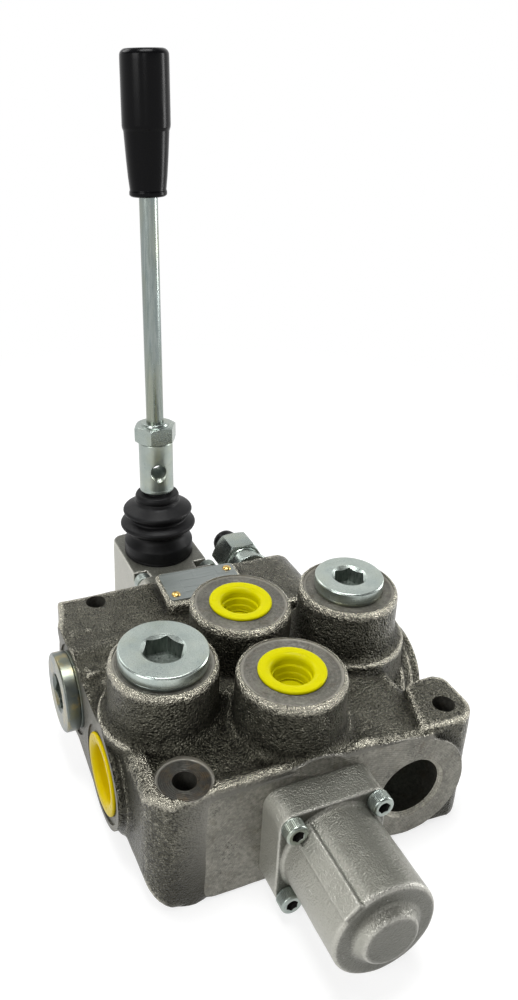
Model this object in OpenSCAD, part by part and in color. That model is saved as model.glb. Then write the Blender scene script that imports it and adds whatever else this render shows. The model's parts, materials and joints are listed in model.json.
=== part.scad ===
// Hydraulic directional control valve, one section, lever operated.
// Cast iron body with ports A and B on top, P on the left, T on the right.
// Origin: on the bottom mounting face, below the spool axis, midway between A and B.
// X to the right, Y from the spring cap towards the lever, Z up. Millimetres.

/* [Body] */
// Left side of the casting, from the spool plane
body_left = 75; // [68:1:85]
// Right side of the casting block, from the spool plane
body_right = 64; // [60:1:72]
// Front machined face, from the middle between A and B
body_front = 55; // [52:0.5:62]
// Back machined face, from the middle between A and B
body_back = 97; // [93:0.5:106]
// Height of the casting's deck
deck_z = 62; // [58:0.5:68]
// Height of the A and B port faces
port_z = 89.3; // [84:0.1:96]
// Height of the seats of the two top plugs
plug_seat_z = 87.7; // [84:0.1:92]
// Height of the milled pads over the raw casting
mill_lift = 0.5; // [0.3:0.1:1.2]

/* [Ports] */
// Distance between ports A and B
ab_pitch = 54.2; // [52:0.2:60]
// Outer radius of the A and B bosses
ab_boss_r = 24.7; // [23.6:0.1:26]
// Bore radius of ports A and B
ab_bore_r = 12.05; // [10:0.05:13]
// Bore radius of the large ports
main_bore_r = 15.15; // [14:0.05:16]
// Radius of the machined spotface round ports A and B
ab_spot_r = 22.6; // [20:0.1:23]
// Radius of the machined spotface round the large ports
main_spot_r = 22.5; // [21:0.1:23.2]
// Height of ports P and T over the base
side_port_z = 32; // [30:0.5:36]
// Height of the left machined face out of the casting
side_lift = 5; // [3:0.5:8]
// X of the right machined face
tank_face_x = 90; // [88:0.5:96]

/* [Plugs] */
// X of the inlet plug
inlet_x = -50; // [-52:0.5:-48]
// Outer radius of the inlet plug boss
inlet_boss_r = 25; // [24:0.1:26]
// Head radius of the inlet plug
inlet_head_r = 20.5; // [18:0.1:21]
// Width across flats of the inlet plug's hex socket
inlet_socket_af = 17; // [14:1:19]
// X of the outlet plug
outlet_x = 56.3; // [54:0.1:58]
// Y of the outlet plug
outlet_y = 20.4; // [16:0.1:24]
// Outer radius of the outlet plug boss
outlet_boss_r = 24.8; // [23.6:0.1:26]
// Head radius of the outlet plug
outlet_head_r = 17; // [15:0.1:18]
// Width across flats of the outlet plug's hex socket
outlet_socket_af = 14; // [10:1:17]
// Height of the plug heads
plug_head_h = 6; // [4:0.5:8]
// Y of the check valve plug in the left side
check_y = 50; // [48:0.5:53]
// Height of the check valve plug over the base
check_z = 41; // [38:0.5:44]
// Head radius of the check valve plug
check_head_r = 19.7; // [18:0.1:21]
// Height of the check valve plug's head
check_head_h = 7; // [5:0.5:8]
// Lift of the check poppet
check_lift = 5; // [2:0.5:7]

/* [Mounting] */
// X of the two left mounting holes
hole_left_x = 56; // [52:0.5:60]
// Y of the front mounting holes
hole_front_y = 42; // [40:0.5:44]
// Y of the back mounting hole
hole_back_y = 88; // [84:0.5:90]
// X of the right mounting hole
hole_right_x = 73; // [71:0.5:76]
// Radius of the mounting holes
hole_r = 5.25; // [4:0.05:6]
// Radius of the right mounting ear
ear_r = 12; // [10:0.5:14]
// Reach of the ear behind its hole
ear_back = 18.8; // [16:0.2:22]

/* [Spool] */
// Height of the spool axis over the base
spool_z = 29; // [27:0.5:31]
// Spool radius over the lands
spool_r = 10.95; // [9:0.05:12]
// Radial clearance of the spool in its bore
spool_fit = 0.04; // [0.01:0.01:0.1]
// Spool travel to each side
spool_stroke = 7.3; // [5:0.1:7.5]

/* [Spring cap] */
// Distance from the flange screws' axes to the edge of the square flange
flange_edge = 5.35; // [5:0.05:6]
// Thickness of the cap flange
cap_flange_t = 15.5; // [12:0.5:18]
// Radius of the cap barrel
cap_r = 22.9; // [21:0.1:23.2]
// Length of the cap barrel from the body face to its shoulder
cap_len = 57.5; // [54:0.5:70]
// Spacing of the flange screws
screw_pitch = 40.3; // [39:0.1:42]
// Shank radius of the flange screws
screw_r = 3; // [2.5:0.1:3.5]

/* [Lever] */
// Y of the lever pivot
pivot_y = 144; // [142:0.5:148]
// Height of the lever pivot over the base
pivot_z = 50; // [48:0.5:52]
// Backward lean of the lever at rest
lever_lean = 4.15; // [0:0.05:8]
// Distance from the pivot to the bottom of the hub
hub_s = 39.5; // [36:0.5:44]
// Hub radius
hub_r = 10; // [9:0.1:11]
// Hub length
hub_len = 32; // [28:0.5:38]
// Width across flats of the hub's lock nut
nut_af = 22; // [19:1:24]
// Rod radius
rod_r = 5; // [4:0.1:6]
// Distance from the pivot to the bottom of the knob
knob_s = 210.3; // [150:0.5:260]
// Length of the knob
knob_len = 72.4; // [60:0.2:85]
// Knob radius at its top
knob_r = 12.7; // [12:0.1:15]
// Boot radius at its skirt
boot_r = 20.5; // [19:0.1:22]

/* [Relief valve] */
// X of the relief valve
relief_x = 40.5; // [39.5:0.5:42]
// Height of the relief valve over the base
relief_z = 51; // [47:0.5:52]
// Width across flats of the relief valve's hexagon
relief_af = 24; // [22:1:27]

/* [Name plate] */
// Width of the name plate
plate_w = 42; // [36:0.5:44]
// Depth of the name plate
plate_d = 25; // [20:0.5:27]
// Thickness of the name plate
plate_t = 0.8; // [0.5:0.1:1.2]

/* [Hidden] */

eps = 0.01;
$fn = 64;
cast_iron = [0.34, 0.31, 0.28];
aluminium = [0.62, 0.61, 0.58];
zinc = [0.70, 0.74, 0.75];
steel = [0.55, 0.56, 0.58];
yellow = [0.93, 0.85, 0.05];
black = [0.06, 0.06, 0.07];

// Seat clearance between pieces that are fitted by hand
seat_gap = 0.05;
a_y = -ab_pitch / 2;
b_y = ab_pitch / 2;
left_face_x = -(body_left + side_lift);
spot_depth = 1;
port_spot_depth = 0.8;
side_spot_x = left_face_x + spot_depth;
tank_spot_x = tank_face_x - spot_depth;
// Open gallery in the front face, right of the spring cap
gallery_x = 51;
gallery_z = 27.5;
gallery_boss_r = 28;
gallery_port_len = 23;
gallery_r = 14;
gallery_plug_depth = 24;
// Sunk corner round the front left mounting hole
pocket_depth = 1.5;
corner_spot_depth = 2.4;
corner_spot_r = 12.5;
spool_bore_r = spool_r + spool_fit;
chamber_r = 15.5;
chamber_w = 9;
// Tank, A, bridge, bridge, B and tank chambers round the spool
chambers = [a_y - 17.5, a_y, -9.5, 9.5, b_y, b_y + 17.5];
groove_r = 7.5;
spool_front = -body_front + spool_stroke + 1.7;
spool_neck_r = 5.5;
spool_tail_r = 8;
spool_tail_end = pivot_y + 8;
arm_ball_r = 4;
arm_slot = 2 * arm_ball_r + 0.7;
pin_r = 4;
pin_fit = 0.05;
pin_half = 16;
screw_head_r = 5;
screw_head_h = 6;
screw_half = screw_pitch / 2;
cap_flange = screw_pitch + 2 * flange_edge;
flange_low = spool_z - cap_flange / 2;
flange_high = spool_z + cap_flange / 2;
flange_round = 8;
cap_wall = 4.8;
cap_bore_r = cap_r - cap_wall;
box_top = pivot_z - 0.5;
box_back = pivot_y + 24;
box_flange_t = 14;
box_half = 23;
seal_cs = 1.3;
spring_wire = 1.5;
cup_t = 2.5;
cup_inner_y = -body_front - 0.3;
cup_outer_y = -body_front - 36;
check_seat_x = -38;
relief_seat_y = body_back - 26;
washer_t = 1.4;
port_seat_z = port_z - port_spot_depth;
check_shank = 18.4;
check_plug_end = side_spot_x - washer_t + check_shank;
check_stem_r = 4;
poppet_x = check_seat_x - 0.05;
relief_collar = 12;
relief_end = body_back + relief_collar + 16;
relief_r = 9;
pad_z = 68.5;
hump_z = 64;
hump_right = 69;
pad_left = -27;
pad_front = 58;
plate_x = 0.3;
plate_y = 76.3;
plate_turn = -3.7;
rivet_r = 2.4;
rivet_dx = 17;
rivet_dy = 7.8;

// Points of an arc, in degrees
function arc(cx, cy, r, a0, a1, n = 6) =
    [for (i = [0:n]) let (a = a0 + (a1 - a0) * i / n) [cx + r * cos(a), cy + r * sin(a)]];

// Rectangle with its own radius at each corner: right top, left top, left bottom, right bottom
module round_box(x0, y0, x1, y1, rt, lt, lb, rb) {
    polygon(concat(
        arc(x1 - rt, y1 - rt, rt, 0, 90),
        arc(x0 + lt, y1 - lt, lt, 90, 180),
        arc(x0 + lb, y0 + lb, lb, 180, 270),
        arc(x1 - rb, y0 + rb, rb, 270, 360)));
}

module hex2d(af) {
    circle(r = af / 2 / cos(30), $fn = 6);
}

// Solid of an outline in X and Z, from y0 to y1
module prism_y(y0, y1) {
    translate([0, y1, 0]) rotate([90, 0, 0]) linear_extrude(height = y1 - y0) children();
}

// Solid of an outline in Y and Z, from x0 to x1
module prism_x(x0, x1) {
    translate([x0, 0, 0]) rotate([90, 0, 90]) linear_extrude(height = x1 - x0) children();
}

module rod_z(x, y, z0, z1, r) {
    translate([x, y, z0]) cylinder(r = r, h = z1 - z0);
}

module rod_y(x, z, y0, y1, r) {
    translate([x, y0, z]) rotate([-90, 0, 0]) cylinder(r = r, h = y1 - y0);
}

module rod_x(y, z, x0, x1, r) {
    translate([x0, y, z]) rotate([0, 90, 0]) cylinder(r = r, h = x1 - x0);
}

// Frames whose Z axis points out of the valve's left, right, front and back faces
module at_left(x, y, z) {
    translate([x, y, z]) rotate([0, -90, 0]) children();
}

module at_right(x, y, z) {
    translate([x, y, z]) rotate([0, 90, 0]) children();
}

module at_front(x, y, z) {
    translate([x, y, z]) rotate([90, 0, 0]) children();
}

module at_back(x, y, z) {
    translate([x, y, z]) rotate([-90, 0, 0]) children();
}

// Frame of the leaning lever, with Z along the rod and its origin at the pivot
module on_lever() {
    translate([0, pivot_y, pivot_z]) rotate([-lever_lean, 0, 0]) children();
}

// Cast boss: a rounded rim at the top and a fillet where it meets the deck
module cast_boss(r, z_low, z_top) {
    rim = 2.6;
    foot = 5;
    translate([0, 0, z_low]) rotate_extrude() polygon(concat(
        [[0, 0], [r + foot, 0]],
        arc(r + foot, deck_z - z_low + foot, foot, 270, 180),
        arc(r - rim, z_top - z_low - rim, rim, 0, 90),
        [[0, z_top - z_low]]));
}

// Threaded plug with a chamfered head, a collar and a hex socket; the seat is at z = 0
module socket_plug(head_r, head_h, shank_r, shank_len, af, depth) {
    edge = 0.5;
    difference() {
        union() {
            rotate_extrude() polygon([
                [0, -shank_len], [shank_r - 1, -shank_len], [shank_r, -shank_len + 1],
                [shank_r, 0], [head_r - 0.6, 0], [head_r, 0.6],
                [head_r, head_h - edge], [head_r - edge, head_h], [0, head_h]]);
        }
        translate([0, 0, head_h - depth]) linear_extrude(height = depth + 1) hex2d(af);
        translate([0, 0, head_h - 1.6]) cylinder(r1 = af / 2 - 0.2, r2 = af / 2 + 1.9, h = 1.61);
    }
}

// Moulded cup plug: a dished flange, a tapering cup and a stepped inside; the seat is at z = 0
module cup_plug(flange_r, shank_r, depth, mouth_r) {
    wall = 1.5;
    t = 1.6;
    floor_t = 1.6;
    inner = shank_r - wall;
    rotate_extrude() polygon([
        [0, -depth], [shank_r - 1.2, -depth], [shank_r - 0.5, -depth + 1.5],
        [shank_r, -3], [shank_r, 0], [flange_r, 0], [flange_r, t - 0.5],
        [flange_r - 0.5, t], [mouth_r + 2.2, t], [mouth_r + 0.6, t - 0.8],
        [mouth_r, -0.8], [mouth_r, -3.5], [mouth_r - 0.7, -4],
        [mouth_r - 0.7, -7], [min(inner, mouth_r) - 1.3, -7.5],
        [min(inner, mouth_r) - 1.6, -depth + floor_t], [0, -depth + floor_t]]);
}

// Socket head cap screw, with its seat at z = 0 and its head above
module cap_screw(len) {
    difference() {
        union() {
            rotate_extrude() polygon([
                [0, 0], [screw_head_r, 0], [screw_head_r, screw_head_h - 0.7],
                [screw_head_r - 0.7, screw_head_h], [0, screw_head_h]]);
            translate([0, 0, -len]) cylinder(r = screw_r, h = len + eps);
        }
        translate([0, 0, screw_head_h - 3.5]) linear_extrude(height = 4) hex2d(5);
    }
}

// Chamfered hexagon of height h
module hex_nut(af, h, bore_r) {
    corner = af / 2 / cos(30);
    chamfer = corner - af / 2 + 0.3;
    difference() {
        intersection() {
            linear_extrude(height = h) hex2d(af);
            rotate_extrude() polygon([
                [0, 0], [corner - chamfer, 0], [corner + 0.1, chamfer * 0.6],
                [corner + 0.1, h - chamfer * 0.6], [corner - chamfer, h], [0, h]]);
        }
        if (bore_r > 0) translate([0, 0, -1]) cylinder(r = bore_r, h = h + 2);
    }
}

// Compression spring along Z: a round wire swept up a helix as one closed skin
module coil_spring(r, wire, length, turns) {
    steps = 14;
    sides = 6;
    n = turns * steps;
    rise = length - 2 * wire;
    ring = [for (i = [0:n]) for (j = [0:sides - 1])
        let (a = 360 * i / steps, b = 360 * j / sides,
             rr = r + wire * cos(b), z = wire + rise * i / n + wire * sin(b))
        [rr * cos(a), rr * sin(a), z]];
    skin = [for (i = [0:n - 1]) for (j = [0:sides - 1])
        let (k = (j + 1) % sides)
        [i * sides + j, (i + 1) * sides + j, (i + 1) * sides + k, i * sides + k]];
    first = [for (j = [0:sides - 1]) j];
    last = [for (j = [sides - 1:-1:0]) n * sides + j];
    polyhedron(points = ring, faces = concat(skin, [first], [last]));
}

module flange_outline() {
    round_box(-cap_flange / 2, flange_low, cap_flange / 2, flange_high,
              flange_round, flange_round, flange_round, flange_round);
}

module at_flange_screws() {
    for (sx = [-1, 1]) for (sz = [-1, 1])
        translate([sx * screw_half, 0, spool_z + sz * screw_half]) children();
}

// Casting block, rounded in all three views, with the deck falling to the right
module body_block() {
    top = arc(-body_left + 6, deck_z - 6, 6, 180, 90);
    intersection() {
        linear_extrude(height = deck_z + 1)
            round_box(-body_left, -body_front + mill_lift, body_right, body_back,
                      12, 8, 13, 6);
        prism_y(-body_front - 1, body_back + 1)
            polygon(concat(
                arc(-body_left + 14, 14, 14, 270, 180), top,
                [[26, deck_z], [body_right - 8, deck_z - 5]],
                arc(body_right - 5, deck_z - 10, 5, 90, 0), [[body_right, 0]]));
        prism_x(-body_left - 1, body_right + 1)
            round_box(-body_front + mill_lift, 0, body_back, deck_z, 4, 4, 3, 3);
    }
}

// Milled pads in the front and back faces that carry the cap and the lever box
module milled_pads() {
    prism_y(-body_front, -body_front + 8)
        round_box(-hole_left_x + 5.5, 1.2, gallery_x, deck_z - 4, 2, 4, 4, 4);
    translate([gallery_x, -body_front, gallery_z]) rotate([-90, 0, 0])
        cylinder(r1 = gallery_boss_r - 0.6, r2 = gallery_boss_r + 1, h = 34);
    prism_y(body_back - 12, body_back)
        round_box(relief_x - 20, relief_z - 18, relief_x + 20, relief_z + 9, 12, 2, 10, 16);
}

// Figure-eight boss in the left face for the inlet port and the check valve plug
module left_boss() {
    r = main_spot_r + 2.6;
    flare = 46;
    flare_low = check_z + 8;
    module outline() {
        for (p = [[0, side_port_z], [check_y, check_z]]) translate(p) circle(r = r);
        polygon([[-6, side_port_z + r], [check_y, check_z + r - 3],
                 [check_y + 4, check_z - r + 4], [4, side_port_z - r + 3]]);
    }
    prism_x(left_face_x, -body_left + 9) intersection() {
        outline();
        translate([-60, 2]) square([140, deck_z - 2]);
    }
    // Deck edge flaring out from the back to the check valve's rim
    translate([0, 0, flare_low]) linear_extrude(height = deck_z - flare_low)
        polygon([[-body_left + 4, check_y + flare], [-body_left, check_y + flare],
                 [left_face_x + 3, check_y + flare - 12], [left_face_x, check_y + r - 4],
                 [left_face_x, check_y], [-body_left + 4, check_y]]);
    // Cast ledge behind the machined rim
    prism_x(-body_left - 1.6, -body_left + 10) intersection() {
        for (p = [[0, side_port_z], [check_y, check_z]]) translate(p) circle(r = r + 2.6);
        translate([-60, 1]) square([140, deck_z - 0.5]);
    }
}

// Boss for the tank port, with its two cast ledges
module right_boss() {
    for (step = [[0, main_spot_r + 1.2], [5, main_spot_r + 3], [11, main_spot_r + 5]])
        intersection() {
            rod_x(outlet_y, side_port_z, body_right - 8, tank_face_x - step[0], step[1]);
            translate([0, -40, 1]) cube([120, 140, 80]);
        }
}

module right_ear() {
    pad = deck_z - 2.5;
    back = -hole_front_y + ear_back;
    linear_extrude(height = pad) polygon(concat(
        arc(hole_right_x, -hole_front_y, ear_r, -75, 0, 8),
        arc(hole_right_x + ear_r - 8, back - 8, 8, 10, 95),
        arc(body_right + 3, back - 5, 4.5, 100, 170, 4),
        [[body_right - 10, -body_front + 3]]));
}

// Raised casting at the back: the name plate's pad and the relief valve's hump
module back_rise() {
    intersection() {
        prism_y(pad_front - 8, body_back) polygon(concat(
            [[pad_left + 8, 30], [pad_left + 20, hump_z]],
            arc(hump_right - 21, hump_z - 19, 19, 90, 10, 10), [[hump_right - 4, 30]]));
        prism_x(-60, hump_right + 10)
            round_box(pad_front - 8, 30, body_back, hump_z, 6, 2, 1, 1);
    }
    translate([plate_x, plate_y, 0]) rotate([0, 0, plate_turn])
        linear_extrude(height = pad_z)
            round_box(-plate_w / 2 - 2, -plate_d / 2 - 2.5, plate_w / 2 + 2, plate_d / 2 + 2,
                      3, 3, 3, 3);
}

// Low terrace that joins the feet of the port bosses
module boss_terrace() {
    terrace = deck_z + 2;
    low = deck_z - 10;
    tall = terrace - low;
    mid_w = 50;
    mid_d = 34;
    side_w = 30;
    side_d = 24;
    for (y = [a_y, b_y]) rod_z(0, y, low, terrace, ab_boss_r + 3);
    translate([5 - mid_w / 2, 3 - mid_d / 2, low]) cube([mid_w, mid_d, tall]);
    translate([inlet_x + 14, 8 - side_d / 2, low]) cube([side_w, side_d, tall]);
}

// Raised bead along the deck's front edge
module front_bead() {
    bead_r = 2.6;
    translate([-body_left + 13, -body_front + 3.1, deck_z - 1.4]) {
        rotate([0, 90, 0]) cylinder(r = bead_r, h = body_left + 16);
        sphere(r = bead_r);
    }
}

// Sunk deck in the front left corner, between the bosses and the front edge
module corner_pocket() {
    translate([0, 0, deck_z - pocket_depth]) linear_extrude(height = 8) difference() {
        polygon(concat(
            arc(-body_left + 13, -hole_front_y + 1, 6, 240, 165),
            arc(-body_left + 12, -22, 4, 170, 90),
            [[-24, -18]],
            arc(-20, -body_front + 8, 2.5, 60, -90)));
        translate([inlet_x, 0]) circle(r = inlet_boss_r + 3);
        translate([0, a_y]) circle(r = ab_boss_r + 4);
    }
}

module port_passages() {
    // Ports A and B, down to the spool
    for (y = [a_y, b_y]) {
        rod_z(0, y, spool_z, port_z + 1, ab_bore_r);
        rod_z(0, y, port_seat_z, port_z + 10, ab_spot_r);
        translate([0, y, port_seat_z - 1.4])
            cylinder(r1 = ab_bore_r, r2 = ab_bore_r + 1.4, h = 1.41);
    }
    // Inlet port, inlet plug hole and their passage to the check valve
    rod_x(0, side_port_z, left_face_x - 1, inlet_x + 8, main_bore_r);
    rod_z(inlet_x, 0, side_port_z - 12, plug_seat_z + 1, main_bore_r);
    rod_y(inlet_x, side_port_z + 6, 0, check_y, 8);
    // Check valve hole and the bridge passage over the spool
    rod_x(check_y, check_z, left_face_x - 1, check_seat_x, main_bore_r);
    rod_x(check_y, check_z, check_seat_x - 1, -20, 9);
    rod_y(-24, check_z, chambers[2], check_y, 6);
    for (i = [2, 3]) rod_x(chambers[i], check_z - 4, -24, -2, 4.4);
    // Tank port, outlet plug hole and the tank gallery along the body
    rod_x(outlet_y, side_port_z, gallery_x, tank_face_x + 1, main_bore_r);
    rod_z(outlet_x, outlet_y, side_port_z, plug_seat_z + 1, ab_bore_r);
    rod_y(gallery_x, gallery_z, -body_front - 1, -body_front + gallery_port_len, main_bore_r);
    rod_y(gallery_x, gallery_z, -body_front, outlet_y + 20, gallery_r);
    for (i = [0, 5]) rod_x(chambers[i], spool_z, 0, gallery_x - 6, 4.4);
    rod_y(gallery_x - 6, spool_z, outlet_y, chambers[5], 4.4);
}

module spotfaces() {
    // Seats of the two top plugs
    rod_z(inlet_x, 0, plug_seat_z, plug_seat_z + 10, main_spot_r + 0.4);
    rod_z(outlet_x, outlet_y, plug_seat_z, plug_seat_z + 10, ab_spot_r);
    // Seats in the left and right faces
    for (p = [[0, side_port_z], [check_y, check_z]])
        rod_x(p[0], p[1], left_face_x - 1, side_spot_x, main_spot_r);
    rod_x(outlet_y, side_port_z, tank_spot_x, tank_face_x + 1, main_spot_r - 2.4);
    // Chamfers of the large ports
    translate([side_spot_x - eps, 0, side_port_z]) rotate([0, 90, 0])
        cylinder(r1 = main_bore_r + 1.6, r2 = main_bore_r, h = 1.6);
    translate([tank_spot_x - 1.6, outlet_y, side_port_z]) rotate([0, 90, 0])
        cylinder(r1 = main_bore_r, r2 = main_bore_r + 1.6, h = 1.61);
    translate([gallery_x, -body_front - eps, gallery_z]) rotate([-90, 0, 0])
        cylinder(r1 = main_bore_r + 1.8, r2 = main_bore_r, h = 1.8);
}

module spool_passages() {
    rod_y(0, spool_z, -body_front - 1, body_back + 1, spool_bore_r);
    for (y = chambers) rod_y(0, spool_z, y - chamber_w / 2, y + chamber_w / 2, chamber_r);
    // Seal grooves at both ends
    rod_y(0, spool_z, -body_front - 1, -body_front + 2.4, spool_bore_r + 2.4);
    rod_y(0, spool_z, body_back - 2.4, body_back + 1, spool_bore_r + 2.4);
    // Tapped holes of the flange screws
    at_flange_screws() {
        translate([0, -body_front - 1, 0]) rotate([-90, 0, 0]) cylinder(r = screw_r + seat_gap, h = 18);
        translate([0, body_back + 1, 0]) rotate([90, 0, 0]) cylinder(r = screw_r + seat_gap, h = 18);
    }
    // Relief valve hole, from the bridge to the tank gallery
    rod_y(relief_x, relief_z, relief_seat_y - 6, body_back + 1, 8);
    rod_y(relief_x, relief_z, body_back - 16, body_back + 1, relief_r + seat_gap);
}

module valve_body() {
    color(cast_iron) difference() {
        union() {
            body_block();
            milled_pads();
            left_boss();
            right_boss();
            right_ear();
            back_rise();
            boss_terrace();
            front_bead();
            for (y = [a_y, b_y]) translate([0, y, 0]) cast_boss(ab_boss_r, 20, port_z);
            translate([inlet_x, 0, 0]) cast_boss(inlet_boss_r, 20, plug_seat_z + 1.2);
            translate([outlet_x, outlet_y, 0]) cast_boss(outlet_boss_r, 20, plug_seat_z + 1.2);
        }
        corner_pocket();
        rod_z(-hole_left_x, -hole_front_y, deck_z - corner_spot_depth, deck_z + 6, corner_spot_r);
        for (p = [[-hole_left_x, -hole_front_y], [-hole_left_x, hole_back_y],
                  [hole_right_x, -hole_front_y]])
            rod_z(p[0], p[1], -1, deck_z + 2, hole_r);
        // Nothing stands out of the front face or the base
        translate([-100, -body_front - 20, -10]) cube([200, 20, 110]);
        translate([-100, -body_front - 20, -20]) cube([220, 200, 20]);
        translate([plate_x, plate_y, pad_z - 5]) rotate([0, 0, plate_turn]) at_rivets()
            cylinder(r = 1.55, h = 6);
        port_passages();
        spotfaces();
        spool_passages();
    }
}

module spool() {
    color(steel) difference() {
        union() {
            rod_y(0, spool_z, spool_front, body_back + 8, spool_r);
            rod_y(0, spool_z, body_back + 7, spool_tail_end, spool_tail_r);
            // Neck that the spring cups run on
            rod_y(0, spool_z, cup_outer_y - cup_t, spool_front + 1, spool_neck_r);
        }
        // Metering grooves between the lands
        for (y = [a_y - 8.8, b_y + 8.8]) spool_groove(y, 5);
        for (y = [-9.5, 9.5]) spool_groove(y, 4);
        spool_groove(0, 3);
        // Fine pressure-balancing grooves
        for (y = [a_y - 3, a_y + 3, b_y - 3, b_y + 3]) difference() {
            rod_y(0, spool_z, y - 0.4, y + 0.4, spool_r + 1);
            rod_y(0, spool_z, y - 1, y + 1, spool_r - 0.6);
        }
        // Slot for the lever's ball, open at the top
        translate([-arm_ball_r - 0.3, pivot_y - arm_slot / 2, spool_z - arm_ball_r - 0.6])
            cube([2 * arm_ball_r + 0.6, arm_slot, 30]);
        translate([-arm_ball_r - 0.3, pivot_y - arm_slot / 2 - 1.6, spool_z + arm_ball_r])
            cube([2 * arm_ball_r + 0.6, arm_slot + 3.2, 30]);
        // Hole for the bolt that holds the spring cups
        rod_y(0, spool_z, cup_outer_y - cup_t - 1, spool_front - 4, 2.55);
    }
}

module spool_groove(y, half) {
    difference() {
        rod_y(0, spool_z, y - half, y + half, spool_r + 1);
        rod_y(0, spool_z, y - half - 1, y + half + 1, groove_r);
    }
}

module spool_seals() {
    color(black) for (y = [-body_front + 1.3, body_back - 1.3])
        translate([0, y, spool_z]) rotate([90, 0, 0]) difference() {
            cylinder(r = spool_bore_r + 2.35, h = 2, center = true);
            cylinder(r = spool_r + 0.1, h = 3, center = true);
        }
}

module spring_cap() {
    // Vent rib of the die casting, on the upper left of the barrel
    rib_angle = 133;
    rib_w = 9;
    color(aluminium) difference() {
        union() {
            prism_y(-body_front - cap_flange_t, -body_front) flange_outline();
            at_front(0, -body_front, spool_z) rotate_extrude() polygon(concat(
                [[0, cap_flange_t - 2], [cap_r + 1.6, cap_flange_t - 2],
                 [cap_r + 1.6, cap_flange_t], [cap_r + 0.8, cap_flange_t + 0.5],
                 [cap_r, cap_flange_t + 1.2]],
                arc(cap_r - 1.8, cap_len - 1.8, 1.8, 0, 90),
                [[16.2, cap_len], [14.2, cap_len + 0.8], [13.2, cap_len + 2.2],
                 [12.2, cap_len + 3.9], [11.4, cap_len + 4.5], [0, cap_len + 4.5]]));
            at_front(0, -body_front, spool_z) rotate([0, 0, rib_angle])
                translate([cap_r - 3, -rib_w / 2, cap_flange_t - 1])
                    cube([3.7, rib_w, cap_len - cap_flange_t + 0.6]);
        }
        // Spring chamber
        at_front(0, -body_front + 1, spool_z)
            rotate_extrude() polygon([
                [0, 0], [cap_bore_r, 0], [cap_bore_r, cap_len - 5],
                [cap_bore_r - 2, cap_len - 3], [0, cap_len - 3]]);
        at_flange_screws() translate([0, -body_front + 1, 0]) rotate([90, 0, 0])
            cylinder(r = screw_r + 0.3, h = cap_flange_t + 2);
        // Flats that let the screw heads seat beside the barrel
        at_flange_screws() translate([0, -body_front - cap_flange_t, 0]) rotate([90, 0, 0])
            cylinder(r = screw_head_r + 0.4, h = screw_head_h + 1);
        // Groove of the seal
        at_front(0, -body_front, spool_z) translate([0, 0, -1]) difference() {
            cylinder(r = cap_bore_r + 2.9, h = 1 + 2 * seal_cs - 0.3);
            translate([0, 0, -1]) cylinder(r = cap_bore_r + 0.6, h = 8);
        }
    }
}

module cap_seal() {
    color(black) translate([0, -body_front - seal_cs + 0.35, spool_z]) rotate([90, 0, 0])
        difference() {
            cylinder(r = cap_bore_r + 2.7, h = 2 * seal_cs - 0.75, center = true);
            cylinder(r = cap_bore_r + 0.8, h = 4, center = true);
        }
}

module cap_screws() {
    grip = 15;
    color(zinc) at_flange_screws() translate([0, -body_front - cap_flange_t, 0])
        rotate([90, 0, 0]) cap_screw(cap_flange_t + grip);
}

module centering_spring() {
    free = cup_inner_y - cup_outer_y - 2 * cup_t - 0.6;
    color(steel) at_front(0, cup_inner_y - cup_t - 0.3, spool_z)
        coil_spring(11, spring_wire, free, 6);
}

// Dished cup with its flat side at z = 0 and its collar above
module spring_cup(bore_r) {
    rotate_extrude() polygon([
        [bore_r, 0], [15, 0], [15, cup_t], [8.8, cup_t], [8.8, cup_t + 4], [bore_r, cup_t + 4]]);
}

module spring_cup_inner() {
    color(steel) at_front(0, cup_inner_y, spool_z) spring_cup(spool_neck_r + 0.3);
}

module spring_cup_outer() {
    color(steel) at_back(0, cup_outer_y, spool_z) spring_cup(spool_neck_r + 0.05);
}

module spool_bolt() {
    head = cup_outer_y - cup_t - 0.05;
    color(zinc) difference() {
        union() {
            at_front(0, head, spool_z) rotate_extrude() polygon([
                [0, 0], [8, 0], [8, 1.6], [4.25, 1.6], [4.25, 5.6], [3.6, 6.2], [0, 6.2]]);
            rod_y(0, spool_z, head - eps, spool_front - 6, 2.5);
        }
        at_front(0, head - 3, spool_z) linear_extrude(height = 6) hex2d(4);
    }
}

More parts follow.
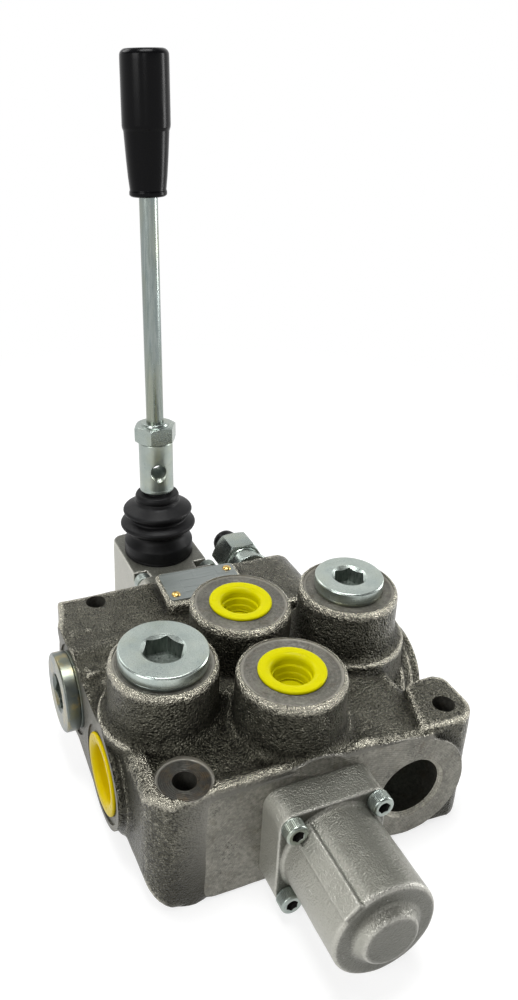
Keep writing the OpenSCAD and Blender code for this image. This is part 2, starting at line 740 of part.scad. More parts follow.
module lever_box() {
    y1 = body_back + box_flange_t;
    seat_front = pivot_y - box_half;
    core = 15;
    wall = 3.5;
    foot = 8;
    color(aluminium) difference() {
        union() {
            prism_y(body_back, y1) flange_outline();
            // Neck round the spool's tail
            prism_y(y1 - 1, box_back) round_box(-core, flange_low + 2, core, box_top, 2, 2, 10, 10);
            // Platform that carries the boot
            translate([0, 0, box_top - 6]) linear_extrude(height = 6)
                round_box(-box_half, seat_front, box_half, box_back, 7, 7, 3, 3);
            translate([0, pivot_y, box_top - 1]) cylinder(r = boot_r - 2.4, h = 3);
            // Side walls, back wall and their feet
            for (sx = [-1, 1])
                prism_x(sx * (box_half - wall / 2) - wall / 2, sx * (box_half - wall / 2) + wall / 2)
                polygon([[y1 - 1, flange_high - 9], [seat_front, box_top - 3], [box_back - 5, box_top - 3],
                         [box_back - 5, foot + 4], [box_back - 12, foot], [seat_front + 4, foot],
                         [y1 - 1, 15]]);
            translate([0, 0, foot]) linear_extrude(height = box_top - foot - 1) difference() {
                round_box(-box_half, box_back - 14, box_half, box_back, 7, 7, 1, 1);
                round_box(-box_half + wall, box_back - 20, box_half - wall, box_back - wall,
                          4, 4, 1, 1);
            }
            // Ribs across the side pockets
            for (y = [seat_front + 4, pivot_y + 8]) translate([-box_half + 1, y, 10])
                cube([2 * box_half - 2, 3, box_top - 12]);
            for (sx = [-1, 1]) rod_x(pivot_y, box_top - 0.2, sx < 0 ? -17 : 11, sx < 0 ? -11 : 17, 6);
        }
        // Bore for the spool, open room for its tail and for the lever's arm
        rod_y(0, spool_z, body_back - 1, y1 + 4, spool_r + 1.4);
        rod_y(0, spool_z, body_back, box_back - 4, spool_tail_r + 1.2);
        translate([-8.6, pivot_y - 15, spool_z - 4]) cube([17.2, 30, 60]);
        // Pin bore through both lugs
        rod_x(pivot_y, pivot_z, -pin_half - 0.1, pin_half + 0.1, pin_r + pin_fit);
        for (sx = [-1, 1]) for (sz = [-1, 1]) {
            rod_y(sx * screw_half, spool_z + sz * screw_half, body_back - 1, y1 + 1, screw_r + 0.3);
            rod_y(sx * screw_half, spool_z + sz * screw_half, y1, y1 + 13, screw_head_r + 0.5);
        }
        // Groove of the seal
        translate([0, body_back, spool_z]) rotate([-90, 0, 0]) difference() {
            translate([0, 0, -1]) cylinder(r = 17.4, h = 2.2);
            translate([0, 0, -2]) cylinder(r = 15.2, h = 5);
        }
    }
}

module box_seal() {
    color(black) translate([0, body_back + 0.05, spool_z]) rotate([-90, 0, 0]) difference() {
        cylinder(r = 17.2, h = 1);
        translate([0, 0, -1]) cylinder(r = 15.4, h = 3);
    }
}

module box_screws() {
    color(zinc) for (sx = [-1, 1]) for (sz = [-1, 1])
        at_back(sx * screw_half, body_back + box_flange_t, spool_z + sz * screw_half)
            cap_screw(box_flange_t + 15);
}

module pivot_pin() {
    color(steel) translate([-pin_half, pivot_y, pivot_z]) rotate([0, 90, 0]) rotate_extrude()
        polygon([[0, 0], [pin_r - 0.5, 0], [pin_r, 0.5], [pin_r, 2 * pin_half - 0.5],
                 [pin_r - 0.5, 2 * pin_half], [0, 2 * pin_half]]);
}

module lever_arm() {
    color(steel) difference() {
        union() {
            rod_x(pivot_y, pivot_z, -8, 8, 7.5);
            rod_z(0, pivot_y, spool_z, pivot_z - 3, 3);
            translate([0, pivot_y, spool_z]) sphere(r = arm_ball_r);
            on_lever() rotate_extrude() polygon([
                [0, 0], [6, 0], [6, hub_s], [rod_r, hub_s], [rod_r, hub_s + 10], [0, hub_s + 10]]);
        }
        rod_x(pivot_y, pivot_z, -20, 20, pin_r + pin_fit);
    }
}

module lever_hub() {
    hole = 4.25;
    turn = 10;
    hole_s = hub_len * 0.46;
    color(zinc) on_lever() translate([0, 0, hub_s]) difference() {
        rotate_extrude() polygon([
            [0, 0], [hub_r - 1.2, 0], [hub_r, 1.2], [hub_r, hub_len - 0.8],
            [hub_r - 0.8, hub_len], [0, hub_len]]);
        translate([0, 0, -1]) cylinder(r = rod_r + seat_gap, h = 11.05);
        translate([0, 0, hub_len - 10]) cylinder(r = rod_r + seat_gap, h = 11);
        // Cross hole with its countersinks
        translate([0, 0, hole_s]) rotate([90, 0, -turn]) {
            cylinder(r = hole, h = 40, center = true);
            for (m = [0, 1]) mirror([0, 0, m]) translate([0, 0, hub_r - 1.5])
                cylinder(r1 = hole, r2 = hole + 1.6, h = 1.6);
        }
    }
}

module hub_lock_nut() {
    color(zinc) on_lever() translate([0, 0, hub_s + hub_len]) {
        hex_nut(nut_af, 10, rod_r + seat_gap);
        difference() {
            translate([0, 0, 10 - eps]) cylinder(r1 = 8.2, r2 = 7.6, h = 1.5);
            cylinder(r = rod_r + seat_gap, h = 20);
        }
    }
}

module lever_rod() {
    color(zinc) on_lever() rotate_extrude() polygon([
        [0, hub_s + hub_len - 9], [rod_r, hub_s + hub_len - 9], [rod_r, knob_s + 40],
        [rod_r - 1, knob_s + 41], [0, knob_s + 41]]);
}

module knob() {
    // Waist where the barrel gives way to the tapered grip
    waist = knob_len * 0.47;
    foot_r = knob_r * 0.79;
    color(black) on_lever() translate([0, 0, knob_s]) difference() {
        rotate_extrude() polygon(concat(
            [[0, 0], [foot_r - 0.8, 0], [foot_r, 0.8], [foot_r, 2.6], [foot_r - 0.3, 3.4],
             [knob_r - 0.7, waist - 1], [knob_r - 0.2, waist], [knob_r, waist + 1.5]],
            arc(knob_r - 3.5, knob_len - 3.5, 3.5, 0, 78, 8),
            [[0, knob_len]]));
        translate([0, 0, -1]) cylinder(r = rod_r + seat_gap, h = 43);
    }
}

// Bellows boot: a straight skirt on the box, two folds and a collar round the arm
module boot() {
    wall = 1.8;
    base = box_top + 0.05;
    folds = [[17.2, 12.5], [17.0, 13.5], [22.2, 17.5], [22.6, 18.6], [22.2, 19.7],
             [17.6, 22.6], [17.4, 23.4], [20.3, 26.2], [20.7, 27.4], [20.2, 28.6],
             [13.4, 32], [12.6, 32.6], [12.6, hub_s - 1]];
    color(black) {
        translate([0, pivot_y, 0]) rotate_extrude() polygon([
            [boot_r - wall, base], [boot_r, base], [boot_r, base + 8.5],
            [boot_r - 3.3, base + 12.6], [boot_r - 3.3 - wall, base + 12.6],
            [boot_r - wall, base + 8]]);
        on_lever() rotate_extrude() polygon(concat(
            folds,
            [[6.3, hub_s - 1], [6.3, 32.4], [11.6, 30.4]],
            [[18.2, 27.8], [18.6, 27.2], [15.6, 23.8], [15.6, 22.4], [20.2, 19.2],
             [20.4, 18.6], [20.2, 18], [15.2, 14], [15.3, 12]]));
    }
}

module inlet_plug() {
    shank = 17;
    socket_depth = 9;
    color(zinc) translate([inlet_x, 0, plug_seat_z + washer_t])
        socket_plug(inlet_head_r, plug_head_h, main_bore_r - seat_gap, shank,
                    inlet_socket_af, socket_depth);
}

// Flat sealing washer, with its lower face at z = 0
module washer(outer_r, inner_r) {
    difference() {
        cylinder(r = outer_r, h = washer_t);
        translate([0, 0, -1]) cylinder(r = inner_r, h = washer_t + 2);
    }
}

module inlet_plug_seal() {
    color(black) translate([inlet_x, 0, plug_seat_z]) washer(inlet_head_r - 0.5, main_bore_r + 0.1);
}

module outlet_plug() {
    shank = 15;
    socket_depth = 8;
    color(zinc) translate([outlet_x, outlet_y, plug_seat_z + washer_t])
        socket_plug(outlet_head_r, plug_head_h, ab_bore_r - seat_gap, shank,
                    outlet_socket_af, socket_depth);
}

module outlet_plug_seal() {
    color(black) translate([outlet_x, outlet_y, plug_seat_z])
        washer(outlet_head_r - 0.5, ab_bore_r + 0.1);
}

module check_plug() {
    socket_depth = 7.5;
    color(zinc) at_left(side_spot_x - washer_t, check_y, check_z) difference() {
        socket_plug(check_head_r, check_head_h, main_bore_r - seat_gap, check_shank,
                    inlet_socket_af, socket_depth);
        // Guide hole of the check poppet's stem
        translate([0, 0, -check_shank - 0.1]) cylinder(r = check_stem_r + 0.05, h = 14);
    }
}

module check_plug_seal() {
    color(black) at_left(side_spot_x, check_y, check_z) washer(check_head_r - 0.5, main_bore_r + 0.1);
}

module check_poppet() {
    guide_floor = check_plug_end - 14;
    stem = poppet_x - guide_floor - check_lift - 2.4;
    color(steel) at_left(poppet_x, check_y, check_z) rotate_extrude() polygon([
        [0, -4], [5, -4], [8.6, -0.4], [8.6, 0.1], [12.5, 0.1], [12.5, 4], [6, 5], [check_stem_r, 6],
        [check_stem_r, stem - 0.8], [check_stem_r - 0.8, stem], [0, stem]]);
}

module check_spring() {
    gap = poppet_x - 5 - check_plug_end;
    color(steel) at_left(poppet_x - 4.6, check_y, check_z) coil_spring(8, 0.9, gap - 0.4, 5);
}

module gallery_plug() {
    face = -body_front + gallery_plug_depth;
    color(zinc) at_front(gallery_x, face, gallery_z) difference() {
        rotate_extrude() polygon([
            [0, -10], [gallery_r - 1.5, -10], [gallery_r - seat_gap, -8.5],
            [gallery_r - seat_gap, -1], [gallery_r - 1, 0], [11.5, 0], [11.5, -1], [9, -1],
            [9, 0], [0, 0]]);
        translate([0, 0, -6]) linear_extrude(height = 7) hex2d(8);
    }
}

module port_cap_a() {
    color(yellow) translate([0, a_y, port_seat_z]) cup_plug(15.3, ab_bore_r - seat_gap, 13, 9.2);
}

module port_cap_b() {
    color(yellow) translate([0, b_y, port_seat_z]) cup_plug(15.3, ab_bore_r - seat_gap, 13, 9.2);
}

module port_cap_p() {
    color(yellow) at_left(side_spot_x, 0, side_port_z) cup_plug(19, main_bore_r - seat_gap, 14, 13);
}

module port_cap_t() {
    color(yellow) at_right(tank_spot_x, outlet_y, side_port_z) cup_plug(19, main_bore_r - seat_gap, 14, 13);
}

// Threaded body of the relief valve, with its hexagon outside the casting
module relief_body() {
    shank = 15.5;
    hex_len = relief_end - body_back;
    color(zinc) at_back(relief_x, body_back + 0.02, relief_z) difference() {
        union() {
            translate([0, 0, -shank]) cylinder(r = relief_r, h = shank + 0.5);
            cylinder(r = relief_af / 2 + 0.6, h = 3);
            cylinder(r = relief_af / 2 - 1.5, h = relief_collar + 1);
            translate([0, 0, relief_collar]) hex_nut(relief_af, hex_len - relief_collar, 0);
        }
        translate([0, 0, -shank - 1]) cylinder(r = 5.6, h = shank + hex_len - 6);
        cylinder(r = 5.05, h = hex_len + 1);
    }
}

module relief_seat() {
    color(steel) at_back(relief_x, relief_seat_y - 5.9, relief_z) difference() {
        cylinder(r = 7.95, h = 5.9);
        translate([0, 0, -1]) cylinder(r = 2.5, h = 8);
        translate([0, 0, 5]) cylinder(r1 = 2.5, r2 = 3.5, h = 0.95);
    }
}

module relief_poppet() {
    color(steel) at_back(relief_x, relief_seat_y, relief_z) rotate_extrude() polygon([
        [0, -1.4], [0.8, -1.4], [3.3, 1.1], [3.3, 9], [5.3, 9], [5.3, 11], [2.6, 11.6],
        [2.6, 13.5], [0, 13.5]]);
}

module relief_spring() {
    color(steel) at_back(relief_x, relief_seat_y + 11.7, relief_z)
        coil_spring(4, 0.7, relief_end - relief_seat_y - 22, 8);
}

module relief_adjuster() {
    tip = relief_end - 10.1;
    color(steel) at_back(relief_x, tip, relief_z) difference() {
        union() {
            cylinder(r = 2.9, h = 3);
            translate([0, 0, 1]) cylinder(r = 5, h = relief_end + 7 - tip - 1);
        }
        translate([0, 0, relief_end + 7 - tip - 4]) linear_extrude(height = 5) hex2d(5);
    }
}

module relief_lock_nut() {
    color(zinc) at_back(relief_x, relief_end + 0.05, relief_z) hex_nut(17, 5, 5.05);
}

module relief_dust_cap() {
    color(black) at_back(relief_x, relief_end + 5.1, relief_z) difference() {
        rotate_extrude() polygon(concat(
            [[0, 0], [7.6, 0], [7.8, 1]], arc(4.8, 5, 3, 0, 75, 5), [[0, 8.2]]));
        translate([0, 0, -1]) cylinder(r = 5.2, h = 6);
    }
}

module name_plate() {
    color(aluminium) translate([plate_x, plate_y, pad_z]) rotate([0, 0, plate_turn]) difference() {
        linear_extrude(height = plate_t)
            round_box(-plate_w / 2, -plate_d / 2, plate_w / 2, plate_d / 2, 2.5, 2.5, 2.5, 2.5);
        at_rivets() translate([0, 0, -1]) cylinder(r = 1.55, h = plate_t + 2);
    }
}

module at_rivets() {
    for (s = [-1, 1]) translate([s * rivet_dx, s * rivet_dy, 0]) children();
}

module plate_rivets() {
    color([0.75, 0.62, 0.30]) translate([plate_x, plate_y, pad_z + plate_t]) rotate([0, 0, plate_turn])
        at_rivets() rotate_extrude() polygon(concat(
            [[0, -5.5], [1.5, -5.5], [1.5, 0], [rivet_r, 0]],
            [for (a = [15:15:75]) [rivet_r * cos(a), 1.3 * sin(a)]], [[0, 1.3]]));
}

valve_body();
spool();
spool_seals();
spring_cap();
cap_seal();
cap_screws();
centering_spring();
spring_cup_inner();
spring_cup_outer();
spool_bolt();
lever_box();
box_seal();
box_screws();
pivot_pin();
lever_arm();
lever_hub();
hub_lock_nut();
lever_rod();
knob();
boot();
inlet_plug();
inlet_plug_seal();
outlet_plug();
outlet_plug_seal();
check_plug();
check_plug_seal();
check_poppet();
check_spring();
gallery_plug();
port_cap_a();
port_cap_b();
port_cap_p();
port_cap_t();
relief_body();
relief_seat();
relief_poppet();
relief_spring();
relief_adjuster();
relief_lock_nut();
relief_dust_cap();
name_plate();
plate_rivets();
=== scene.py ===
"""Looks of the hydraulic directional control valve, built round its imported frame.

Lengths are written in millimetres and turned into metres where a mesh is made.
"""
import json
import math

import bmesh
import bpy
import numpy as np
from mathutils import Matrix, Vector, noise


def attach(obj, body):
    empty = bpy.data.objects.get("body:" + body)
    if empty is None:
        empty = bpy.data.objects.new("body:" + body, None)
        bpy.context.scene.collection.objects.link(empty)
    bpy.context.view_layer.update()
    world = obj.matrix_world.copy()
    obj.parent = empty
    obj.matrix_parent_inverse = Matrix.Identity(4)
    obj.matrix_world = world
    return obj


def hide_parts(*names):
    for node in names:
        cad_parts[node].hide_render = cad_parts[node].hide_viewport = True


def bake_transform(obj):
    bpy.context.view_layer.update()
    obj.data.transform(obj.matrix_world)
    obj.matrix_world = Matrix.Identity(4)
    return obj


MM = 0.001
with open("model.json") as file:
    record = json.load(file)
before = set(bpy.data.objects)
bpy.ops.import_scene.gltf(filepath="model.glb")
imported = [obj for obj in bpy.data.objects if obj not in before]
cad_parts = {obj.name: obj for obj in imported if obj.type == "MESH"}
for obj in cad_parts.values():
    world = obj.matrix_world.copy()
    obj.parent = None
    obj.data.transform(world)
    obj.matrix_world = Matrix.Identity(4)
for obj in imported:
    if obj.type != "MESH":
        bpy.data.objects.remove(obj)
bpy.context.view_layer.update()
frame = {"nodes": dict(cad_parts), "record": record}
nodes = frame["nodes"]

# Main places of the valve, in millimetres, as in its frame
PORT_A_Y, PORT_B_Y = -27.1, 27.1
INLET_X = -50.0
OUTLET_X, OUTLET_Y = 56.3, 20.4
CHECK_Y, CHECK_Z = 50.0, 41.0
SIDE_Z = 32.0
LEFT_X, TANK_X = -80.0, 90.0
FRONT_Y, BACK_Y = -55.0, 97.0
DECK_Z, PORT_Z, SEAT_Z = 62.0, 89.3, 88.5
PLUG_TOP, PLUG_SEAT_Z = 88.9, 87.7
GALLERY_X, GALLERY_Z = 51.0, 27.5
SPOOL_Z = 29.0
PIVOT_Y, PIVOT_Z = 144.0, 50.0
LEAN = math.radians(4.15)
HUB_S, HUB_LEN, KNOB_S = 39.5, 32.0, 210.3
RELIEF_X, RELIEF_Z = 40.5, 51.0
BOX_TOP = 49.5
WASHER = 1.4
PLATE = (0.3, 76.3, 68.5)
PLATE_TURN = math.radians(-3.7)
SCREW_HALF = 20.15
SCREW_SPOTS = [(SCREW_HALF * sx, SPOOL_Z + SCREW_HALF * sz) for sx in (-1, 1) for sz in (-1, 1)]
SCREW_TURNS = (-37, 25, 9, 71)
MOUNT_HOLES = ((-56, -42), (-56, 88), (73, -42))
CAP_SEAT_Y, BOX_SEAT_Y = FRONT_Y - 15.5, BACK_Y + 14
CORNER_SINK = 2.4
GALLERY_DEPTH = 24.0

# Radii of the threaded holes, of what screws into them, of the lever rod's holes and of seats
G1_BORE, G34_BORE = 15.15, 12.05
G1_SHANK, G34_SHANK = 15.1, 12.0
ROD_BORE = 5.05
TOP_SEAT, INLET_SEAT, SIDE_SEAT, CORNER_SEAT = 22.6, 22.9, 22.5, 12.5

# Turn a flat outline so that its prism runs along the valve's x or y
ALONG_X = Matrix(((0, 0, 1, 0), (1, 0, 0, 0), (0, 1, 0, 0), (0, 0, 0, 1)))
ALONG_Y = Matrix(((1, 0, 0, 0), (0, 0, 1, 0), (0, 1, 0, 0), (0, 0, 0, 1)))


# Frames

def place(x, y, z, facing="up"):
    """Frame at a place of the valve, with its own Z pointing to one of the valve's sides."""
    turn = {
        "up": Matrix.Identity(4),
        "left": Matrix.Rotation(-math.pi / 2, 4, "Y"),
        "right": Matrix.Rotation(math.pi / 2, 4, "Y"),
        "front": Matrix.Rotation(math.pi / 2, 4, "X"),
        "back": Matrix.Rotation(-math.pi / 2, 4, "X"),
    }[facing]
    return Matrix.Translation((x, y, z)) @ turn


def on_lever(s=0.0):
    """Frame on the leaning lever, a distance up from its pivot."""
    lean = Matrix.Rotation(-LEAN, 4, "X")
    return Matrix.Translation((0, PIVOT_Y, PIVOT_Z)) @ lean @ Matrix.Translation((0, 0, s))


def on_plate(x=0.0, y=0.0, z=0.0):
    turn = Matrix.Rotation(PLATE_TURN, 4, "Z")
    return Matrix.Translation(PLATE) @ turn @ Matrix.Translation((x, y, z))


def rivet_places(z=0.0):
    return [on_plate(17 * side, 7.8 * side, z) for side in (-1, 1)]


# Mesh helpers

def into_scene(name, data):
    obj = bpy.data.objects.new(name, data)
    bpy.context.scene.collection.objects.link(obj)
    return obj


def new_object(name, verts, faces):
    mesh = bpy.data.meshes.new(name)
    mesh.from_pydata(verts, [], faces)
    mesh.validate()
    return into_scene(name, mesh)


def placed(obj, matrix):
    """Moves a mesh that was made in millimetres to its place, in metres."""
    obj.data.transform(Matrix.Scale(MM, 4) @ matrix)
    return obj


def clean_normals(obj):
    bm = bmesh.new()
    bm.from_mesh(obj.data)
    bmesh.ops.remove_doubles(bm, verts=bm.verts, dist=1e-7)
    bmesh.ops.recalc_face_normals(bm, faces=bm.faces)
    bm.to_mesh(obj.data)
    bm.free()


def smooth(obj, angle=32):
    obj.data.shade_smooth()
    obj.data.set_sharp_from_angle(angle=math.radians(angle))


def bake_modifiers(obj):
    depsgraph = bpy.context.evaluated_depsgraph_get()
    depsgraph.update()
    mesh = bpy.data.meshes.new_from_object(obj.evaluated_get(depsgraph))
    obj.modifiers.clear()
    old = obj.data
    obj.data = mesh
    mesh.name = obj.name
    bpy.data.meshes.remove(old)


def rounded_corner(before, here, after, radius, steps):
    """Points of a curve that cuts a corner, at most `radius` back along each side."""
    a, b = before - here, after - here
    reach = min(radius, a.length * 0.45, b.length * 0.45)
    start, end = here + a.normalized() * reach, here + b.normalized() * reach
    for k in range(steps + 1):
        t = k / steps
        q = start * (1 - t) ** 2 + here * 2 * t * (1 - t) + end * t ** 2
        yield q.x, q.y


def fillet(points, radius, steps=3):
    """Rounds each corner of an outline of (r, z) points; a point may carry its own radius."""
    out = [tuple(points[0][:2])]
    for before, p, after in zip(points, points[1:], points[2:]):
        r = p[2] if len(p) > 2 else radius
        if r > 0:
            out += rounded_corner(Vector(before[:2]), Vector(p[:2]), Vector(after[:2]), r, steps)
        else:
            out.append(tuple(p[:2]))
    return out + [tuple(points[-1][:2])]


def turned(name, outline, matrix, radius=0.25, steps=96, shape=None):
    """Solid of revolution: an outline of (r, z) from the lower axis point to the upper one."""
    points = fillet(outline, radius)
    verts, rings = [], []
    for r, z in points:
        if r < 1e-6:
            rings.append([len(verts)])
            verts.append((0, 0, z))
            continue
        rings.append(list(range(len(verts), len(verts) + steps)))
        for k in range(steps):
            a = 2 * math.pi * k / steps
            rr = shape(r, z, a) if shape else r
            verts.append((rr * math.cos(a), rr * math.sin(a), z))
    faces = []
    closed = len(rings[0]) > 1
    pairs = list(zip(rings, rings[1:])) + ([(rings[-1], rings[0])] if closed else [])
    for low, high in pairs:
        for k in range(steps):
            m = (k + 1) % steps
            if len(low) == 1 and len(high) == 1:
                break
            if len(low) == 1:
                faces.append((low[0], high[m], high[k]))
            elif len(high) == 1:
                faces.append((low[k], low[m], high[0]))
            else:
                faces.append((low[k], low[m], high[m], high[k]))
    obj = placed(new_object(name, verts, faces), matrix)
    clean_normals(obj)
    return obj


def prism(name, outline, z0, z1, matrix):
    """Straight solid of a flat outline of (x, y) points."""
    n = len(outline)
    verts = [(x, y, z0) for x, y in outline] + [(x, y, z1) for x, y in outline]
    faces = [tuple(range(n))[::-1], tuple(range(n, 2 * n))]
    faces += [(k, (k + 1) % n, n + (k + 1) % n, n + k) for k in range(n)]
    obj = placed(new_object(name, verts, faces), matrix)
    clean_normals(obj)
    return obj


def polygon(sides, r):
    return [(r * math.cos(2 * math.pi * k / sides), r * math.sin(2 * math.pi * k / sides))
            for k in range(sides)]


def rounded_polygon(corners, radius, steps=5):
    out = []
    for i, here in enumerate(corners):
        before, after = Vector(corners[i - 1]), Vector(corners[(i + 1) % len(corners)])
        out += rounded_corner(before, Vector(here), after, radius, steps)
    return out


def hexagon(af, radius=0.4):
    return rounded_polygon(polygon(6, af / 2 / math.cos(math.pi / 6)), radius)


def rod(name, r, z0, z1, matrix, steps=96):
    return turned(name, [(0, z0), (r, z0), (r, z1), (0, z1)], matrix, radius=0, steps=steps)


def cone(name, r0, r1, z0, z1, matrix):
    return turned(name, [(0, z0), (r0, z0), (r1, z1), (0, z1)], matrix, radius=0)


def thread(z, stop, r, other_r, pitch, corner):
    """Zigzag stretch of an outline, from z up to a stop."""
    out = []
    while z < stop:
        out += [(r, z, corner), (other_r, z + pitch / 2, corner)]
        z += pitch
    return out


def discard(obj):
    data = obj.data
    bpy.data.objects.remove(obj)
    bpy.data.meshes.remove(data)


def boolean(obj, tools, operation="DIFFERENCE", solver="MANIFOLD"):
    """Cuts or joins other objects, one after the other, and removes them."""
    for tool in tools:
        mod = obj.modifiers.new("cut", "BOOLEAN")
        mod.operation = operation
        mod.solver = solver
        mod.object = tool
        bake_modifiers(obj)
        discard(tool)
    return obj


def paint(obj, materials, index):
    """Gives an object some materials and all its faces one of them."""
    for made in materials:
        obj.data.materials.append(made)
    obj.data.polygons.foreach_set("material_index", [index] * len(obj.data.polygons))


def join(name, parts):
    """One mesh out of several that don't touch."""
    bm = bmesh.new()
    for part in parts:
        bm.from_mesh(part.data)
    obj = parts[0]
    bm.to_mesh(obj.data)
    bm.free()
    for part in parts[1:]:
        discard(part)
    obj.name = name
    obj.data.name = name
    return obj


def bevelled(obj, width, angle=28, segments=2):
    mod = obj.modifiers.new("bevel", "BEVEL")
    mod.width = width * MM
    mod.segments = segments
    mod.limit_method = "ANGLE"
    mod.angle_limit = math.radians(angle)
    mod.use_clamp_overlap = True
    bake_modifiers(obj)
    return obj


def copy_of(node, name):
    obj = into_scene(name, nodes[node].data.copy())
    clean_normals(obj)
    obj.data.materials.clear()
    return obj


def read(items, name, width, kind=float):
    """Numbers of a mesh, one row for each vertex or edge."""
    values = np.empty(len(items) * width, kind)
    items.foreach_get(name, values)
    return values.reshape(-1, width)


def coords(obj):
    """Vertex places in millimetres."""
    return read(obj.data.vertices, "co", 3) / MM


def set_coords(obj, co):
    obj.data.vertices.foreach_set("co", (co * MM).ravel())
    obj.data.update()


def vertex_normals(obj):
    return read(obj.data.vertices, "normal", 3)


def edges_of(obj):
    return read(obj.data.edges, "vertices", 2, np.int64)


def averaged(values, edges, rounds):
    """Each value becomes the mean of itself and its neighbours, round after round."""
    n = len(values)
    both = np.concatenate([edges, edges[:, ::-1]])
    count = np.bincount(both[:, 0], minlength=n)[:, None] + 1e-9
    values = values.reshape(n, -1)
    for _ in range(rounds):
        total = np.stack([np.bincount(both[:, 0], values[both[:, 1], k], n)
                          for k in range(values.shape[1])], 1)
        values = 0.5 * values + 0.5 * total / count
    return values


def noise_at(co, scale, seed):
    """Smooth seeded noise, from -1 to 1, with bumps about `scale` millimetres apart."""
    shift = Vector((seed * 17.3, seed * 5.1, seed * 9.7))
    return np.array([noise.noise(Vector(p) / scale + shift) for p in co])


def voxels(obj, size):
    mod = obj.modifiers.new("voxels", "REMESH")
    mod.mode = "VOXEL"
    mod.voxel_size = size * MM
    mod.use_smooth_shade = True
    bake_modifiers(obj)


def store(obj, name, values):
    attribute = obj.data.attributes.new(name, "FLOAT", "POINT")
    attribute.data.foreach_set("value", np.asarray(values, np.float32).ravel())


def cast_skin(obj, size, rounds, proud, waves, seed):
    """Turns a blank into a casting: soft edges, fillets and the waviness of its mould."""
    voxels(obj, size)
    edges = edges_of(obj)
    co = averaged(coords(obj), edges, rounds)
    set_coords(obj, co)
    normals = vertex_normals(obj)
    lift = np.full(len(co), proud)
    for scale, height in waves:
        lift += height * noise_at(co, scale, seed + scale)
    set_coords(obj, co + normals * lift[:, None])


def soften(obj, places, rounds):
    """Melts the forms round some places, for fillets wider than the others."""
    co = coords(obj)
    away = np.min([np.linalg.norm((co - centre) / reach, axis=1) for centre, reach in places],
                  axis=0)
    weight = np.clip(1.8 - 1.8 * away, 0, 1)[:, None]
    set_coords(obj, co + weight * (averaged(co, edges_of(obj), rounds) - co))


def shade_attributes(obj, fine_rounds=9, wide_rounds=24):
    """Stores how proud (edge) and how sunk (hollow) each point lies: edge for wear and painted
    highlight, hollow for painted shade.
    """
    co, edges, normals = coords(obj), edges_of(obj), vertex_normals(obj)
    fine = averaged(co, edges, fine_rounds)
    wide = averaged(fine, edges, wide_rounds)
    store(obj, "edge", np.einsum("ij,ij->i", co - fine, normals))
    store(obj, "hollow", np.einsum("ij,ij->i", wide - fine, normals))


# Materials

